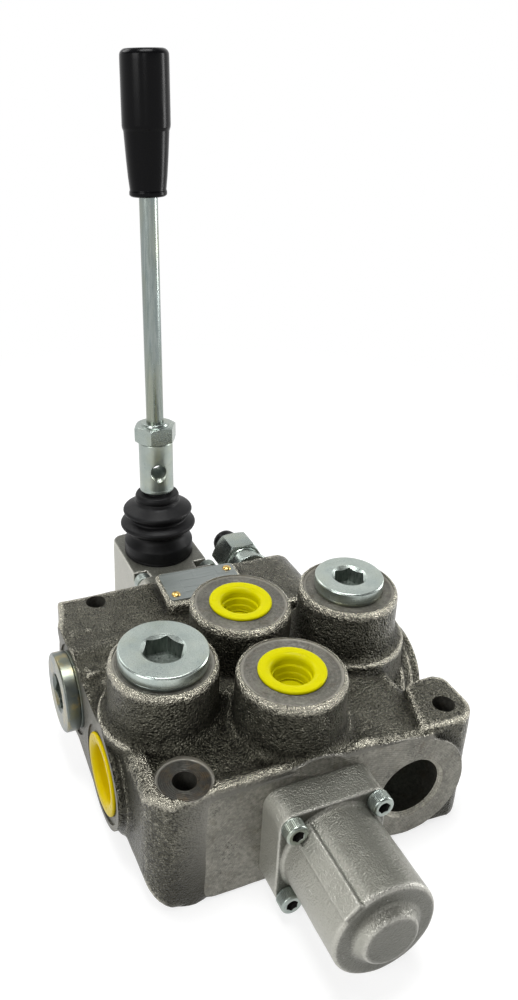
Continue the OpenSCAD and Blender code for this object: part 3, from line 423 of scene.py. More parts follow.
class Shader:
    """Small helper that builds a node material."""

    def __init__(self, name):
        self.material = bpy.data.materials.new(name)
        self.material.use_nodes = True
        self.tree = self.material.node_tree
        self.tree.nodes.clear()
        self.out = self.node("ShaderNodeOutputMaterial")
        self.bsdf = self.node("ShaderNodeBsdfPrincipled")
        self.link(self.bsdf.outputs[0], self.out.inputs["Surface"])

    def node(self, kind, **values):
        made = self.tree.nodes.new(kind)
        for key, value in values.items():
            setattr(made, key, value)
        return made

    def link(self, source, target):
        self.tree.links.new(source, target)

    def feed(self, socket, value):
        if isinstance(value, bpy.types.NodeSocket):
            self.link(value, socket)
        else:
            socket.default_value = value

    def set(self, **values):
        for key, value in values.items():
            self.feed(self.bsdf.inputs[key.replace("_", " ")], value)

    def position(self):
        return self.node("ShaderNodeTexCoord").outputs["Object"]

    def attribute(self, name):
        return self.node("ShaderNodeAttribute", attribute_name=name).outputs["Fac"]

    def noise(self, per_mm, detail=3.0, rough=0.5, vector=None):
        made = self.node("ShaderNodeTexNoise")
        self.link(vector or self.position(), made.inputs["Vector"])
        for name, value in (("Scale", per_mm / MM), ("Detail", detail), ("Roughness", rough)):
            made.inputs[name].default_value = value
        return made.outputs["Fac"]

    def cells(self, per_mm):
        made = self.node("ShaderNodeTexVoronoi")
        self.link(self.position(), made.inputs["Vector"])
        made.inputs["Scale"].default_value = per_mm / MM
        return made.outputs["Distance"]

    def math(self, operation, a, b=0.0):
        made = self.node("ShaderNodeMath", operation=operation)
        self.feed(made.inputs[0], a)
        self.feed(made.inputs[1], b)
        return made.outputs[0]

    def plus(self, *terms):
        """Sum of (value, weight) pairs."""
        total = None
        for value, weight in terms:
            term = value if weight == 1 else self.math("MULTIPLY", value, weight)
            total = term if total is None else self.math("ADD", total, term)
        return total

    def steps(self, value, low, high, to_low=0.0, to_high=1.0):
        """Maps a value from low..high to to_low..to_high and holds it at both ends."""
        made = self.node("ShaderNodeMapRange", clamp=True)
        for socket, v in zip(made.inputs, (value, low, high, to_low, to_high)):
            self.feed(socket, v)
        return made.outputs[0]

    def mix(self, factor, a, b):
        made = self.node("ShaderNodeMix", data_type="RGBA")
        self.feed(made.inputs[0], factor)
        for socket, value in ((made.inputs[6], a), (made.inputs[7], b)):
            if isinstance(value, tuple):
                value = (*value[:3], 1.0)
            self.feed(socket, value)
        return made.outputs[2]

    def over(self, base, mask, amount, colour):
        """A colour over a base where a mask is 1, as dense as the amount."""
        return self.mix(self.math("MULTIPLY", mask, amount), base, colour)

    def blend(self, factor, a, b):
        made = self.node("ShaderNodeMix", data_type="FLOAT")
        self.feed(made.inputs[0], factor)
        self.feed(made.inputs[2], a)
        self.feed(made.inputs[3], b)
        return made.outputs[0]

    def bump(self, height, distance, strength=1.0):
        made = self.node("ShaderNodeBump")
        self.feed(made.inputs["Strength"], strength)
        made.inputs["Distance"].default_value = distance * MM
        self.feed(made.inputs["Height"], height)
        self.link(made.outputs[0], self.bsdf.inputs["Normal"])
        return self.material

    def mapped(self, scale, rotation=(0, 0, 0)):
        """Object places stretched along the axes, for grain that runs one way."""
        made = self.node("ShaderNodeMapping")
        self.link(self.position(), made.inputs["Vector"])
        made.inputs["Rotation"].default_value = rotation
        made.inputs["Scale"].default_value = scale
        return made.outputs[0]

    def split(self, vector):
        made = self.node("ShaderNodeSeparateXYZ")
        self.link(vector, made.inputs[0])
        return made.outputs

    def radius_from(self, centre, axis):
        """Distance in metres from a line along a frame axis through a centre in millimetres."""
        x, y, z = self.split(self.position())
        across = {"x": ((y, 1), (z, 2)), "y": ((x, 0), (z, 2)), "z": ((x, 0), (y, 1))}[axis]
        squares = [self.math("POWER", self.math("SUBTRACT", s, centre[i] * MM), 2.0)
                   for s, i in across]
        return self.math("SQRT", self.math("ADD", *squares))

    def waves(self, radius, pitch):
        """Rings with a pitch in millimetres, as a turning or facing tool leaves them."""
        return self.math("SINE", self.math("MULTIPLY", radius, 2 * math.pi / (pitch * MM)))


def cast_iron():
    """Raw sand casting: dark oily metal with a pebbled grain, worn brighter on rims and beads with
    painted highlight, with painted shade in hollows and low on the front.
    """
    s = Shader("cast_iron_raw")
    edge, hollow = s.attribute("edge"), s.attribute("hollow")
    patches = s.noise(0.035, 4, 0.6)
    lumps = s.noise(0.30, 2, 0.6)
    grain = s.noise(0.85, 2, 0.7)
    height = s.plus((s.cells(1.02), -0.42), (grain, 0.55), (lumps, 0.45))
    proud = s.plus((edge, 1), (s.math("SUBTRACT", height, 0.3), 0.26))
    # Proud rims and beads are painted paler: partly real wear, partly painted highlight
    wear_and_highlight = s.steps(proud, 0.04, 0.15)
    base = s.mix(s.steps(patches, 0.35, 0.68), (0.072, 0.0695, 0.052), (0.120, 0.1160, 0.090))
    # Painted shade: sunk places darken towards near black
    base = s.mix(s.steps(hollow, 0.0, 0.36, 0.0, 0.9), base, (0.012, 0.011, 0.007))
    base = s.mix(s.steps(height, 0.27, 0.12, 0.0, 0.75), base, (0.012, 0.011, 0.008))
    base = s.over(base, wear_and_highlight, 0.85, (0.44, 0.42, 0.345))
    rust = s.steps(s.noise(0.22, 4, 0.7), 0.68, 0.76)
    base = s.over(base, rust, 0.35, (0.060, 0.030, 0.016))
    # To the left the milled front fades into the raw skin, and painted shade darkens the front low
    # down
    x, y, z = s.split(s.position())
    fading = s.math("MULTIPLY", s.steps(x, -0.066, -0.050), s.steps(y, -0.0538, -0.0546))
    base = s.over(base, fading, 0.85, (0.21, 0.204, 0.182))
    low_front_shade = s.math("MULTIPLY", s.steps(z, 0.046, 0.008), s.steps(y, -0.0500, -0.0535))
    base = s.over(base, low_front_shade, 0.86, (0.030, 0.0285, 0.021))
    s.set(Base_Color=base, Metallic=0.9,
          Roughness=s.blend(fading, s.blend(wear_and_highlight, 0.28, 0.24), 0.46))
    return s.bump(height, 1.9, s.steps(fading, 0.0, 1.0, 1.0, 0.2))


def toned(colour, tone):
    return tuple(channel * tone for channel in colour)


def milled_iron(name, centre=None, axis="z", tone=1.0, arcs=False, brown=0.3, pitch=0.55,
                ring=None):
    """Machined iron: tool marks round a centre, small dark pits and thin brown stains."""
    s = Shader(name)
    light, dark = toned((0.215, 0.209, 0.178), tone), toned((0.150, 0.145, 0.123), tone)
    grain = s.noise(0.9, 5, 0.65)
    base = s.mix(s.steps(s.noise(0.07, 4, 0.6), 0.35, 0.65), light, dark)
    stain = s.steps(s.noise(0.16, 4, 0.62), 0.58 - 0.1 * brown, 0.70)
    base = s.over(base, stain, brown, (0.085, 0.058, 0.030))
    clusters = s.steps(s.noise(0.09, 3, 0.5), 0.50, 0.62)
    pits = s.math("MULTIPLY", s.steps(s.noise(0.85, 3, 0.65), 0.575, 0.66), clusters)
    base = s.over(base, pits, 0.85, (0.030, 0.025, 0.020))
    fleck = s.steps(s.noise(1.3, 3, 0.6), 0.66, 0.71)
    base = s.over(base, fleck, 0.5, (0.050, 0.044, 0.036))
    mottle = s.noise(0.7, 3, 0.7)
    base = s.mix(s.steps(mottle, 0.50, 0.36, 0.0, 0.45), base, toned(dark, 0.45))
    base = s.mix(s.steps(mottle, 0.53, 0.66, 0.0, 0.40), base, toned(light, 1.5))
    if centre:
        radius = s.radius_from(centre, axis)
        if ring:
            pale = s.steps(radius, (ring - 1.5) * MM, (ring - 0.5) * MM, 0.0, 0.75)
            base = s.mix(pale, base, (0.36, 0.345, 0.30))
        if arcs:
            radius = s.plus((radius, 1), (s.noise(0.02, 2), 0.004))
        uneven = s.steps(s.noise(0.35, 3, 0.6), 0.30, 0.6)
        rings = s.math("MULTIPLY", s.waves(radius, pitch), uneven)
        roughness = s.steps(s.math("ADD", rings, grain), -0.6, 1.6, 0.36, 0.56)
        height = s.plus((rings, 0.55), (pits, -1.6), (grain, 0.7))
    else:
        roughness = s.steps(grain, 0.3, 0.7, 0.38, 0.58)
        height = s.plus((grain, 1), (pits, -1.0))
    s.set(Base_Color=base, Metallic=0.65, Roughness=roughness)
    return s.bump(height, 0.12, 0.9)


def cast_aluminium():
    """Blasted light alloy: fine grain, pale edges, painted shade in corners and on faces turned up
    or forward, painted light on left sides, and a few bright nicks.
    """
    s = Shader("cast_aluminium_blasted")
    edge, hollow = s.attribute("edge"), s.attribute("hollow")
    height = s.plus((s.noise(1.0, 2, 0.7), 1), (s.cells(1.3), -0.45))
    patches = s.noise(0.05, 4, 0.6)
    base = s.mix(s.steps(patches, 0.35, 0.65), (0.215, 0.213, 0.184), (0.31, 0.307, 0.270))
    # Painted shade: sunk corners darken
    base = s.mix(s.steps(hollow, 0.05, 0.6, 0.0, 0.75), base, (0.045, 0.043, 0.034))
    base = s.mix(s.steps(edge, 0.012, 0.07, 0.0, 0.75), base, (0.55, 0.54, 0.49))
    base = s.mix(s.steps(height, 0.26, 0.10, 0.0, 0.40), base, (0.09, 0.088, 0.070))
    base = s.mix(s.steps(height, 0.42, 0.54, 0.0, 0.35), base, (0.60, 0.59, 0.54))
    stains = s.steps(s.noise(0.09, 5, 0.65), 0.58, 0.72)
    base = s.over(base, stains, 0.35, (0.11, 0.10, 0.075))
    nicks = s.steps(s.noise(0.8, 2, 0.4, s.mapped((1, 0.22, 0.6))), 0.735, 0.76)
    base = s.over(base, nicks, 0.85, (0.85, 0.85, 0.82))
    # Painted shade darkens what faces up or forward, and painted light makes the left sides paler
    across, along, up = s.split(s.node("ShaderNodeNewGeometry").outputs["Normal"])
    painted_shade_facing = s.math("MAXIMUM", s.steps(up, 0.80, 0.97, 0.0, 0.75),
                   s.steps(along, -0.90, -0.99, 0.0, 0.62))
    base = s.mix(painted_shade_facing, base, (0.085, 0.086, 0.070))
    base = s.mix(s.steps(across, -0.30, -0.75, 0.0, 0.6), base, (0.52, 0.515, 0.455))
    s.set(Base_Color=base, Metallic=0.6, Roughness=0.38)
    return s.bump(height, 0.32, 1.0)


def zinc(name, centre=None, axis="z", tint=0.25, rough=0.25, pitch=0.5, patina=0.0, tone=1.0,
         metal=0.95):
    """Bright zinc plate over turned steel, with faint yellow and blue tints."""
    s = Shader(name)
    base = s.mix(s.steps(s.noise(0.11, 4, 0.6), 0.3, 0.7),
                 toned((0.29, 0.335, 0.318), tone), toned((0.38, 0.42, 0.385), tone))
    yellowish = s.steps(s.noise(0.06, 3, 0.6), 0.48, 0.66)
    base = s.over(base, yellowish, tint, (0.38, 0.38, 0.22))
    if patina:
        rust = s.steps(s.noise(0.12, 5, 0.7), 0.50, 0.60)
        base = s.over(base, rust, patina, (0.40, 0.29, 0.09))
    scuffs = s.steps(s.noise(0.5, 4, 0.7), 0.60, 0.70)
    base = s.over(base, scuffs, 0.40, (0.16, 0.175, 0.16))
    fine = s.noise(1.8, 4, 0.65)
    roughness = s.steps(s.plus((fine, 1), (scuffs, 0.6)), 0.3, 1.1, rough, rough + 0.24)
    s.set(Base_Color=base, Metallic=metal, Roughness=roughness)
    if not centre:
        return s.bump(fine, 0.04, 0.5)
    rings = s.waves(s.radius_from(centre, axis), pitch)
    s.set(Roughness=s.plus((roughness, 1), (rings, 0.05)))
    return s.bump(s.plus((rings, 0.5), (fine, 0.6)), 0.025, 0.55)


def drawn_zinc():
    """Rod plating: long streaks along the lever and a faint yellow cast."""
    s = Shader("zinc_drawn_rod")
    streak = s.noise(0.9, 3, 0.6, s.mapped((1, 1, 0.02)))
    soft = s.noise(0.05, 3, 0.5, s.mapped((1.5, 1.5, 0.35)))
    base = s.mix(s.steps(streak, 0.3, 0.7), (0.19, 0.23, 0.225), (0.31, 0.345, 0.33))
    base = s.mix(s.steps(soft, 0.45, 0.65, 0.0, 0.4), base, (0.28, 0.275, 0.16))
    s.set(Base_Color=base, Metallic=0.95, Roughness=s.steps(streak, 0.3, 0.7, 0.20, 0.36))
    return s.bump(streak, 0.012, 0.5)


def yellow_plastic(name="yellow_moulded_plastic", painted_light_tint=(1.0, 1.0)):
    s = Shader(name)
    soft = s.noise(0.08, 3, 0.5)
    # Raised red and green make a lit copy of the yellow: painted light
    red, green = painted_light_tint
    base = s.mix(soft, (0.52 * red, 0.487 * green, 0.0005), (0.485 * red, 0.452 * green, 0.0005))
    grime = s.steps(s.noise(0.35, 4, 0.65), 0.64, 0.76)
    base = s.over(base, grime, 0.10, (0.42, 0.34, 0.02))
    s.set(Base_Color=base, Roughness=s.steps(s.noise(0.2, 2), 0.3, 0.7, 0.26, 0.34),
          Specular_IOR_Level=0.05)
    return s.material


def black_phenolic():
    s = Shader("black_polished_phenolic")
    dust = s.steps(s.noise(0.7, 5, 0.7), 0.62, 0.74)
    base = s.mix(s.math("MULTIPLY", dust, 0.15), (0.003, 0.003, 0.0035), (0.02, 0.02, 0.02))
    s.set(Base_Color=base, Roughness=s.steps(s.noise(0.12, 4), 0.3, 0.7, 0.18, 0.26),
          Specular_IOR_Level=0.10)
    return s.bump(s.noise(0.25, 3), 0.02, 0.3)


def rubber(name="black_moulded_rubber", gloss=0.42):
    s = Shader(name)
    bloom = s.steps(s.noise(0.10, 5, 0.65), 0.45, 0.72)
    base = s.mix(s.math("MULTIPLY", bloom, 0.35), (0.005, 0.005, 0.0055), (0.022, 0.022, 0.022))
    fine = s.noise(1.6, 4, 0.6)
    s.set(Base_Color=base, Roughness=s.steps(fine, 0.3, 0.7, gloss - 0.04, gloss + 0.14),
          Specular_IOR_Level=0.17)
    return s.bump(fine, 0.04, 0.4)


def grained_metal(name, grain, spread, colours, metallic, shine, bump, stretch=None):
    """Plain metal whose fine grain varies its colour and its shine."""
    s = Shader(name)
    fine = s.noise(*grain, s.mapped(stretch) if stretch else None)
    base = s.mix(s.steps(fine, *spread), *colours)
    s.set(Base_Color=base, Metallic=metallic, Roughness=s.steps(fine, 0.3, 0.7, *shine))
    return s.bump(fine, *bump)


def plate_metal():
    """Satin sheet aluminium, with fine lines along its length and small handling marks."""
    s = Shader("name_plate_satin")
    lines = s.noise(1.6, 4, 0.7, s.mapped((0.03, 1, 1), rotation=(0, 0, PLATE_TURN)))
    marks = s.steps(s.noise(0.4, 4, 0.7), 0.62, 0.72)
    base = s.mix(s.steps(lines, 0.3, 0.7), (0.21, 0.235, 0.228), (0.29, 0.312, 0.302))
    base = s.over(base, marks, 0.3, (0.12, 0.12, 0.11))
    s.set(Base_Color=base, Metallic=0.8, Roughness=s.steps(lines, 0.3, 0.7, 0.30, 0.44))
    return s.bump(lines, 0.008, 0.5)


def floor_material():
    """White sweep: it shades and takes the object's shadow near it, and is plain white far off."""
    s = Shader("pale_floor")
    s.tree.nodes.remove(s.bsdf)
    soft = s.noise(0.002, 2, 0.5)
    paper = s.node("ShaderNodeBsdfDiffuse")
    s.feed(paper.inputs["Color"], s.mix(soft, (0.34, 0.34, 0.34), (0.36, 0.36, 0.36)))
    path = s.node("ShaderNodeLightPath")
    seen = s.math("MAXIMUM", path.outputs["Is Camera Ray"], path.outputs["Is Glossy Ray"])
    seen = s.math("MAXIMUM", seen, path.outputs["Is Transmission Ray"])
    lift = s.node("ShaderNodeEmission")
    s.feed(lift.inputs["Strength"], s.math("MULTIPLY", seen, 0.74))
    near = s.node("ShaderNodeAddShader")
    s.link(paper.outputs[0], near.inputs[0])
    s.link(lift.outputs[0], near.inputs[1])
    far = s.node("ShaderNodeEmission")
    far.inputs["Strength"].default_value = 1.0
    away = s.math("MULTIPLY", s.steps(s.radius_from((0, 40, 0), "z"), 0.20, 0.60), seen)
    both = s.node("ShaderNodeMixShader")
    s.link(away, both.inputs[0])
    s.link(near.outputs[0], both.inputs[1])
    s.link(far.outputs[0], both.inputs[2])
    s.link(both.outputs[0], s.out.inputs["Surface"])
    return s.material


IRON = cast_iron()
ALUMINIUM = cast_aluminium()
ZINC = zinc("zinc_plate")
STEEL = grained_metal("ground_steel", (1.4, 4, 0.6), (0.3, 0.7),
                      ((0.40, 0.40, 0.41), (0.55, 0.55, 0.55)), 1.0, (0.26, 0.40), (0.01, 0.4),
                      (1, 0.1, 1))
YELLOW = yellow_plastic()
PHENOLIC = black_phenolic()
RUBBER = rubber()
PLATE_METAL = plate_metal()
BRASS = grained_metal("brass_rivet", (1.2, 4, 0.6), (0.35, 0.65),
                      ((0.72, 0.50, 0.16), (0.50, 0.33, 0.11)), 1.0, (0.22, 0.36), (0.02, 0.4))
# Painted shade: dark steel in the sockets of the flange screws
SCREW_SOCKET_SHADE = grained_metal("screw_socket_painted_shade", (1.0, 4, 0.6), (0.35, 0.65),
                     ((0.040, 0.038, 0.036), (0.11, 0.105, 0.10)), 0.8, (0.34, 0.5), (0.03, 0.4))
# Plating inside the broached sockets of the plugs, darkened as painted shade
PLUG_SOCKET_SHADE = grained_metal("zinc_in_sockets", (1.0, 4, 0.65), (0.3, 0.7),
                       ((0.10, 0.12, 0.108), (0.32, 0.36, 0.325)), 0.9, (0.26, 0.42),
                       (0.03, 0.5), (1, 1, 0.2))
RING_PLATE = zinc("zinc_seal_ring", tint=0.6, rough=0.3, tone=0.7)


def finish_piece(obj, body, material, node, angle=32, extra=()):
    """Gives a piece its material, shades it smooth, hides the solid it stands for and hangs it on
    its body.
    """
    if not obj.data.materials:
        for made in (material, *extra):
            obj.data.materials.append(made)
    smooth(obj, angle)
    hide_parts(node)
    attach(obj, body)


# The block: a sand casting whose machined faces and bores are cut afterwards

MACHINED = []


def machined(tool, material):
    """Marks a cutting tool, so that the faces it leaves take a machined finish."""
    if material not in MACHINED:
        MACHINED.append(material)
    tool["finish"] = MACHINED.index(material) + 1
    return tool


def block_tools():
    """Every cut that a machine makes in the block, with the finish it leaves."""
    bore = milled_iron("bored_iron", tone=0.55, brown=0.5)
    tools = []

    def drill(r, x, y, z, facing, length, start=0.0, finish=bore):
        tools.append(machined(rod("drill", r, -length, start, place(x, y, z, facing)), finish))

    def chamfer(r, width, x, y, z, facing, finish):
        over = 0.3
        tools.append(machined(cone("chamfer", r - over, r + width + over, -width - over, over,
                                   place(x, y, z, facing)), finish))

    def slab(name, x0, y0, x1, y1, low, high, matrix, finish):
        outline = [(x0, y0), (x1, y0), (x1, y1), (x0, y1)]
        tools.append(machined(prism(name, outline, low, high, matrix), finish))

    # Seats round the top ports and plugs
    for tag, x, y, z, spot, r, low in (
            ("a", 0, PORT_A_Y, SEAT_Z, TOP_SEAT, G34_BORE, SPOOL_Z),
            ("b", 0, PORT_B_Y, SEAT_Z, TOP_SEAT, G34_BORE, SPOOL_Z),
            ("inlet", INLET_X, 0, PLUG_SEAT_Z, INLET_SEAT, G1_BORE, SIDE_Z - 12),
            ("outlet", OUTLET_X, OUTLET_Y, PLUG_SEAT_Z, TOP_SEAT, G34_BORE, SIDE_Z)):
        seat = milled_iron("milled_seat_" + tag, (x, y, 0), "z", tone=0.75, brown=0.4, pitch=0.9,
                           ring=spot)
        drill(spot, x, y, z, "up", 0, 6, seat)
        drill(r, x, y, z, "up", z - low, 1)
        chamfer(r, 1.4, x, y, z, "up", seat)
    # Left face with the inlet port and the check valve hole
    left = milled_iron("milled_left_face", (0, 20, 60), "x", tone=0.85, arcs=True, brown=0.25,
                       pitch=0.8)
    slab("left_face", -60, -5, 100, 90, -96, LEFT_X, ALONG_X, left)
    for tag, y, z, depth in (("inlet_port", 0, SIDE_Z, 37), ("check", CHECK_Y, CHECK_Z, 41)):
        seat = milled_iron("milled_seat_" + tag, (0, y, z), "x", tone=0.8, brown=0.3, pitch=0.7)
        drill(SIDE_SEAT, LEFT_X + 1, y, z, "left", 0, 4, seat)
        drill(G1_BORE, LEFT_X + 1, y, z, "left", depth, 1)
        chamfer(G1_BORE, 1.6, LEFT_X + 1, y, z, "left", seat)
    # Tank port in the right face
    tank = milled_iron("milled_tank_face", (0, OUTLET_Y, SIDE_Z), "x", tone=0.9, brown=0.3,
                       pitch=0.7)
    drill(40, TANK_X, OUTLET_Y, SIDE_Z, "right", 0, 5, tank)
    drill(20.1, TANK_X - 1, OUTLET_Y, SIDE_Z, "right", 0, 4, tank)
    drill(G1_BORE, TANK_X - 1, OUTLET_Y, SIDE_Z, "right", 38, 1)
    chamfer(G1_BORE, 1.6, TANK_X - 1, OUTLET_Y, SIDE_Z, "right", tank)
    # Front face and the open gallery, back face and base
    front = milled_iron("milled_front", (10, 0, -18), "y", tone=1.2, arcs=True, brown=0.35,
                        pitch=1.1)
    slab("front_face", -120, -20, 120, 110, 55, 75, place(0, 0, 0, "front"), front)
    rim = milled_iron("milled_gallery_rim", (GALLERY_X, 0, GALLERY_Z), "y", tone=2.5, brown=0.15,
                      pitch=0.6)
    drill(G1_BORE, GALLERY_X, FRONT_Y, GALLERY_Z, "front", 23, 1)
    drill(14.0, GALLERY_X, FRONT_Y, GALLERY_Z, "front", 95)
    chamfer(G1_BORE, 1.8, GALLERY_X, FRONT_Y, GALLERY_Z, "front", rim)
    back = milled_iron("milled_back", (0, 0, 20), "y", tone=0.85, arcs=True, brown=0.3, pitch=1.1)
    slab("back_face", -120, -20, 120, 110, BACK_Y, BACK_Y + 20, ALONG_Y, back)
    base = milled_iron("milled_base", (0, 20, 0), "z", tone=0.8, arcs=True, brown=0.3, pitch=1.4)
    slab("base_face", -120, -120, 120, 140, -12, 0, Matrix.Identity(4), base)
    # Mounting holes, the sunk seat of the front left one, and the plate's rivet holes
    corner_x, corner_y = MOUNT_HOLES[0]
    seat = milled_iron("milled_corner_seat", (corner_x, corner_y, 0), "z", tone=0.22, brown=0.9,
                       pitch=0.9, ring=CORNER_SEAT)
    drill(CORNER_SEAT, corner_x, corner_y, DECK_Z - CORNER_SINK, "up", 0, 6, seat)
    for x, y in MOUNT_HOLES:
        drill(5.25, x, y, 70, "up", 75)
    for spot in rivet_places():
        tools.append(machined(rod("rivet_hole", 1.55, -5, 3, spot), bore))
    # Spool bore, its chambers and the flange screws' holes
    drill(10.99, 0, BACK_Y, SPOOL_Z, "back", 152, 2)
    for y in (-44.6, PORT_A_Y, -9.5, 9.5, PORT_B_Y, 44.6):
        drill(15.5, 0, y, SPOOL_Z, "back", 4.5, 4.5)
    for y in (FRONT_Y - 1, BACK_Y - 2.4):
        drill(13.39, 0, y, SPOOL_Z, "back", 0, 3.4)
    for x, z in SCREW_SPOTS:
        drill(3.05, x, FRONT_Y, z, "front", 17, 1)
        drill(3.05, x, BACK_Y, z, "back", 17, 1)
    # Passages of the check valve and the relief valve
    drill(8, INLET_X, 0, SIDE_Z + 6, "back", 0, CHECK_Y)
    drill(9, -39, CHECK_Y, CHECK_Z, "right", 0, 19)
    drill(6, -24, -9.5, CHECK_Z, "back", 0, CHECK_Y + 9.5)
    drill(8, RELIEF_X, BACK_Y, RELIEF_Z, "back", 32, 1)
    drill(9.05, RELIEF_X, BACK_Y, RELIEF_Z, "back", 16, 1)
    return tools


def filled_blank():
    """The casting before machining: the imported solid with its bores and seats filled."""
    blank = copy_of("valve_body", "block")
    co = coords(blank)
    x, y, z = co.T
    # Faces that are milled later are moved out, so that their edges stay sharp after the cut
    stretch = 1.6
    z[z < 0.01] -= stretch
    x[x < LEFT_X + 0.01] -= stretch
    x[x > TANK_X - 0.01] += stretch
    y[y > BACK_Y - 0.01] += stretch
    # The front pad fades out to the left, where the cut runs into the cast face at a low angle
    front = y < FRONT_Y + 0.01
    y[front] -= np.where(x[front] < -40, 0.25, stretch)
    set_coords(blank, co)
    fillers = []

    def fill(r, low, high, matrix):
        fillers.append(rod("filler", r, low, high, matrix))

    over = 0.1
    through = BACK_Y - FRONT_Y + 2 * stretch
    for x, y, r, top in ((0, PORT_A_Y, TOP_SEAT, PORT_Z), (0, PORT_B_Y, TOP_SEAT, PORT_Z),
                         (INLET_X, 0, INLET_SEAT, PLUG_TOP),
                         (OUTLET_X, OUTLET_Y, TOP_SEAT, PLUG_TOP)):
        fill(r + over, 20, top, place(x, y, 0))
    for y, z in ((0, SIDE_Z), (CHECK_Y, CHECK_Z)):
        fill(SIDE_SEAT + over, 0, 42 + stretch, place(LEFT_X + 42, y, z, "left"))
    fill(20.2, 0, 40 + stretch, place(TANK_X - 40, OUTLET_Y, SIDE_Z, "right"))
    fill(17.2, 0, 97 + stretch, place(GALLERY_X, 42, GALLERY_Z, "front"))
    fill(17.0, -2, through, place(0, BACK_Y + stretch - 2, SPOOL_Z, "front"))
    for (x, y), r, top in zip(MOUNT_HOLES, (CORNER_SEAT + over, 5.6, 5.6),
                              (DECK_Z - 1.6, DECK_Z, DECK_Z - 2.5)):
        fill(r, -stretch, top, place(x, y, 0))
    for x, z in SCREW_SPOTS:
        fill(3.4, 0, through, place(x, BACK_Y + stretch, z, "front"))
    fill(9.3, 0, 34 + stretch, place(RELIEF_X, BACK_Y - 34, RELIEF_Z, "back"))
    for spot in rivet_places():
        fill(1.8, -6, 0, spot)
    # The bead on the front edge runs on along the falling deck
    fall = Matrix.Translation((24, FRONT_Y + 3.2, DECK_Z - 1.5)) @ Matrix.Rotation(
        math.radians(97.2), 4, "Y")
    fillers.append(cone("bead", 2.6, 1.6, 0, 42, fall))
    return join("block", [blank] + fillers)


def cut_with_finishes(obj, tools, base_material):
    """Cuts all tools at once and gives the new faces the finish of the tool that left them."""
    finishes = [base_material] + MACHINED
    for tool in tools:
        paint(tool, finishes, tool["finish"])
    obj.data.materials.clear()
    for made in finishes:
        obj.data.materials.append(made)
    boolean(obj, tools)


def block():
    body = filled_blank()
    cast_skin(body, 0.85, 6, 0.14, ((16.0, 0.22), (6.0, 0.08), (2.4, 0.04)), seed=3)
    # Round the right ear, the corner pocket and the front edge
    soften(body, (((52, -31, 60), (11, 20, 8)), ((-34, -36, 61), (30, 22, 8)),
                  ((30, -52, 60), (40, 7, 8))), 28)
    shade_attributes(body)
    cut_with_finishes(body, block_tools(), IRON)
    finish_piece(body, "body", IRON, "valve_body", angle=40)


# Light alloy castings

def alloy_casting(node, tools, face_y, stretch, seed):
    """A die casting: softened solid whose joint face and bores are cut again."""
    obj = copy_of(node, node + "_casting")
    co = coords(obj)
    co[np.abs(co[:, 1] - face_y) < 0.02, 1] += stretch
    set_coords(obj, co)
    cast_skin(obj, 0.48, 3, 0.05, ((9.0, 0.10), (2.5, 0.04)), seed)
    shade_attributes(obj)
    obj.data.materials.append(ALUMINIUM)
    for tool in tools:
        tool.data.materials.append(ALUMINIUM)
    boolean(obj, tools)
    finish_piece(obj, "body", ALUMINIUM, node, angle=40)


def screw_seats(y, facing, r, height):
    """Holes and head seats of the four flange screws."""
    for x, z in SCREW_SPOTS:
        spot = place(x, y, z, facing)
        yield rod("screw_hole", 3.3, -20, 2, spot)
        yield rod("screw_seat", r, 0, height, spot)


def spring_cap():
    tools = [rod("face", 60, 0, 6, place(0, FRONT_Y + 6, SPOOL_Z, "front")),
             rod("chamber", 18.12, -6, 50, place(0, FRONT_Y, SPOOL_Z, "front")),
             *screw_seats(CAP_SEAT_Y, "front", 5.4, 7)]
    alloy_casting("spring_cap", tools, FRONT_Y, 1.0, seed=11)


def lever_box():
    tools = [rod("face", 60, 0, 6, place(0, BACK_Y - 6, SPOOL_Z, "back")),
             rod("bore", 12.35, -2, 18, place(0, BACK_Y, SPOOL_Z, "back")),
             rod("tail_room", 9.2, -1, 67, place(0, BACK_Y, SPOOL_Z, "back")),
             rod("pin_bore", 4.05, -16.1, 16.1, place(0, PIVOT_Y, PIVOT_Z, "right")),
             *screw_seats(BOX_SEAT_Y, "back", 5.5, 13)]
    alloy_casting("lever_box", tools, BACK_Y, -1.0, seed=12)


# Turned, milled and moulded pieces

def hex_socket(obj, af, depth, top, matrix, mouth=1.9):
    """Hexagon socket with a conical mouth and a drill point at its bottom."""
    cutter = prism("socket", hexagon(af), top - depth, top + 1, matrix)
    sink = cone("sink", af / 2 - 0.2, af / 2 + mouth + 0.1, top - 1.6, top + 0.1, matrix)
    point = cone("point", 0.2, af / 2 - 0.8, top - depth - 1.2, top - depth + 0.4, matrix)
    # The socket's walls and drill point take the plug's second material, darkened as painted shade
    for tool, index in ((cutter, 1), (sink, 0), (point, 1)):
        paint(tool, obj.data.materials, index)
    boolean(obj, [cutter, sink, point], solver="EXACT")


def plug(node, matrix, head_r, shank_r, shank_len, af, depth, material, guide=0.0, head_h=6.0):
    """Screw plug with a chamfered, turned head, a thread relief and a hexagon socket."""
    outline = [(0, -shank_len), (shank_r - 1.2, -shank_len), (shank_r, -shank_len + 1.2)]
    outline += thread(-shank_len + 1.6, -3.4, shank_r, shank_r - 0.75, 2.0, 0.1)
    outline += [(shank_r - 1.0, -2.6), (shank_r - 1.0, -0.6), (shank_r + 0.2, 0),
                (head_r - 0.6, 0), (head_r, 0.6), (head_r, head_h - 0.65, 0.2),
                (head_r - 0.65, head_h, 0.2), (af / 2 + 3.4, head_h), (0, head_h)]
    obj = turned(node + "_turned", outline, matrix, 0.2, steps=128)
    paint(obj, (material, PLUG_SOCKET_SHADE), 0)
    hex_socket(obj, af, depth, head_h, matrix)
    if guide:
        boolean(obj, [rod("guide", guide, -shank_len - 1, -4.5, matrix)], solver="EXACT")
    finish_piece(obj, "body", material, node)


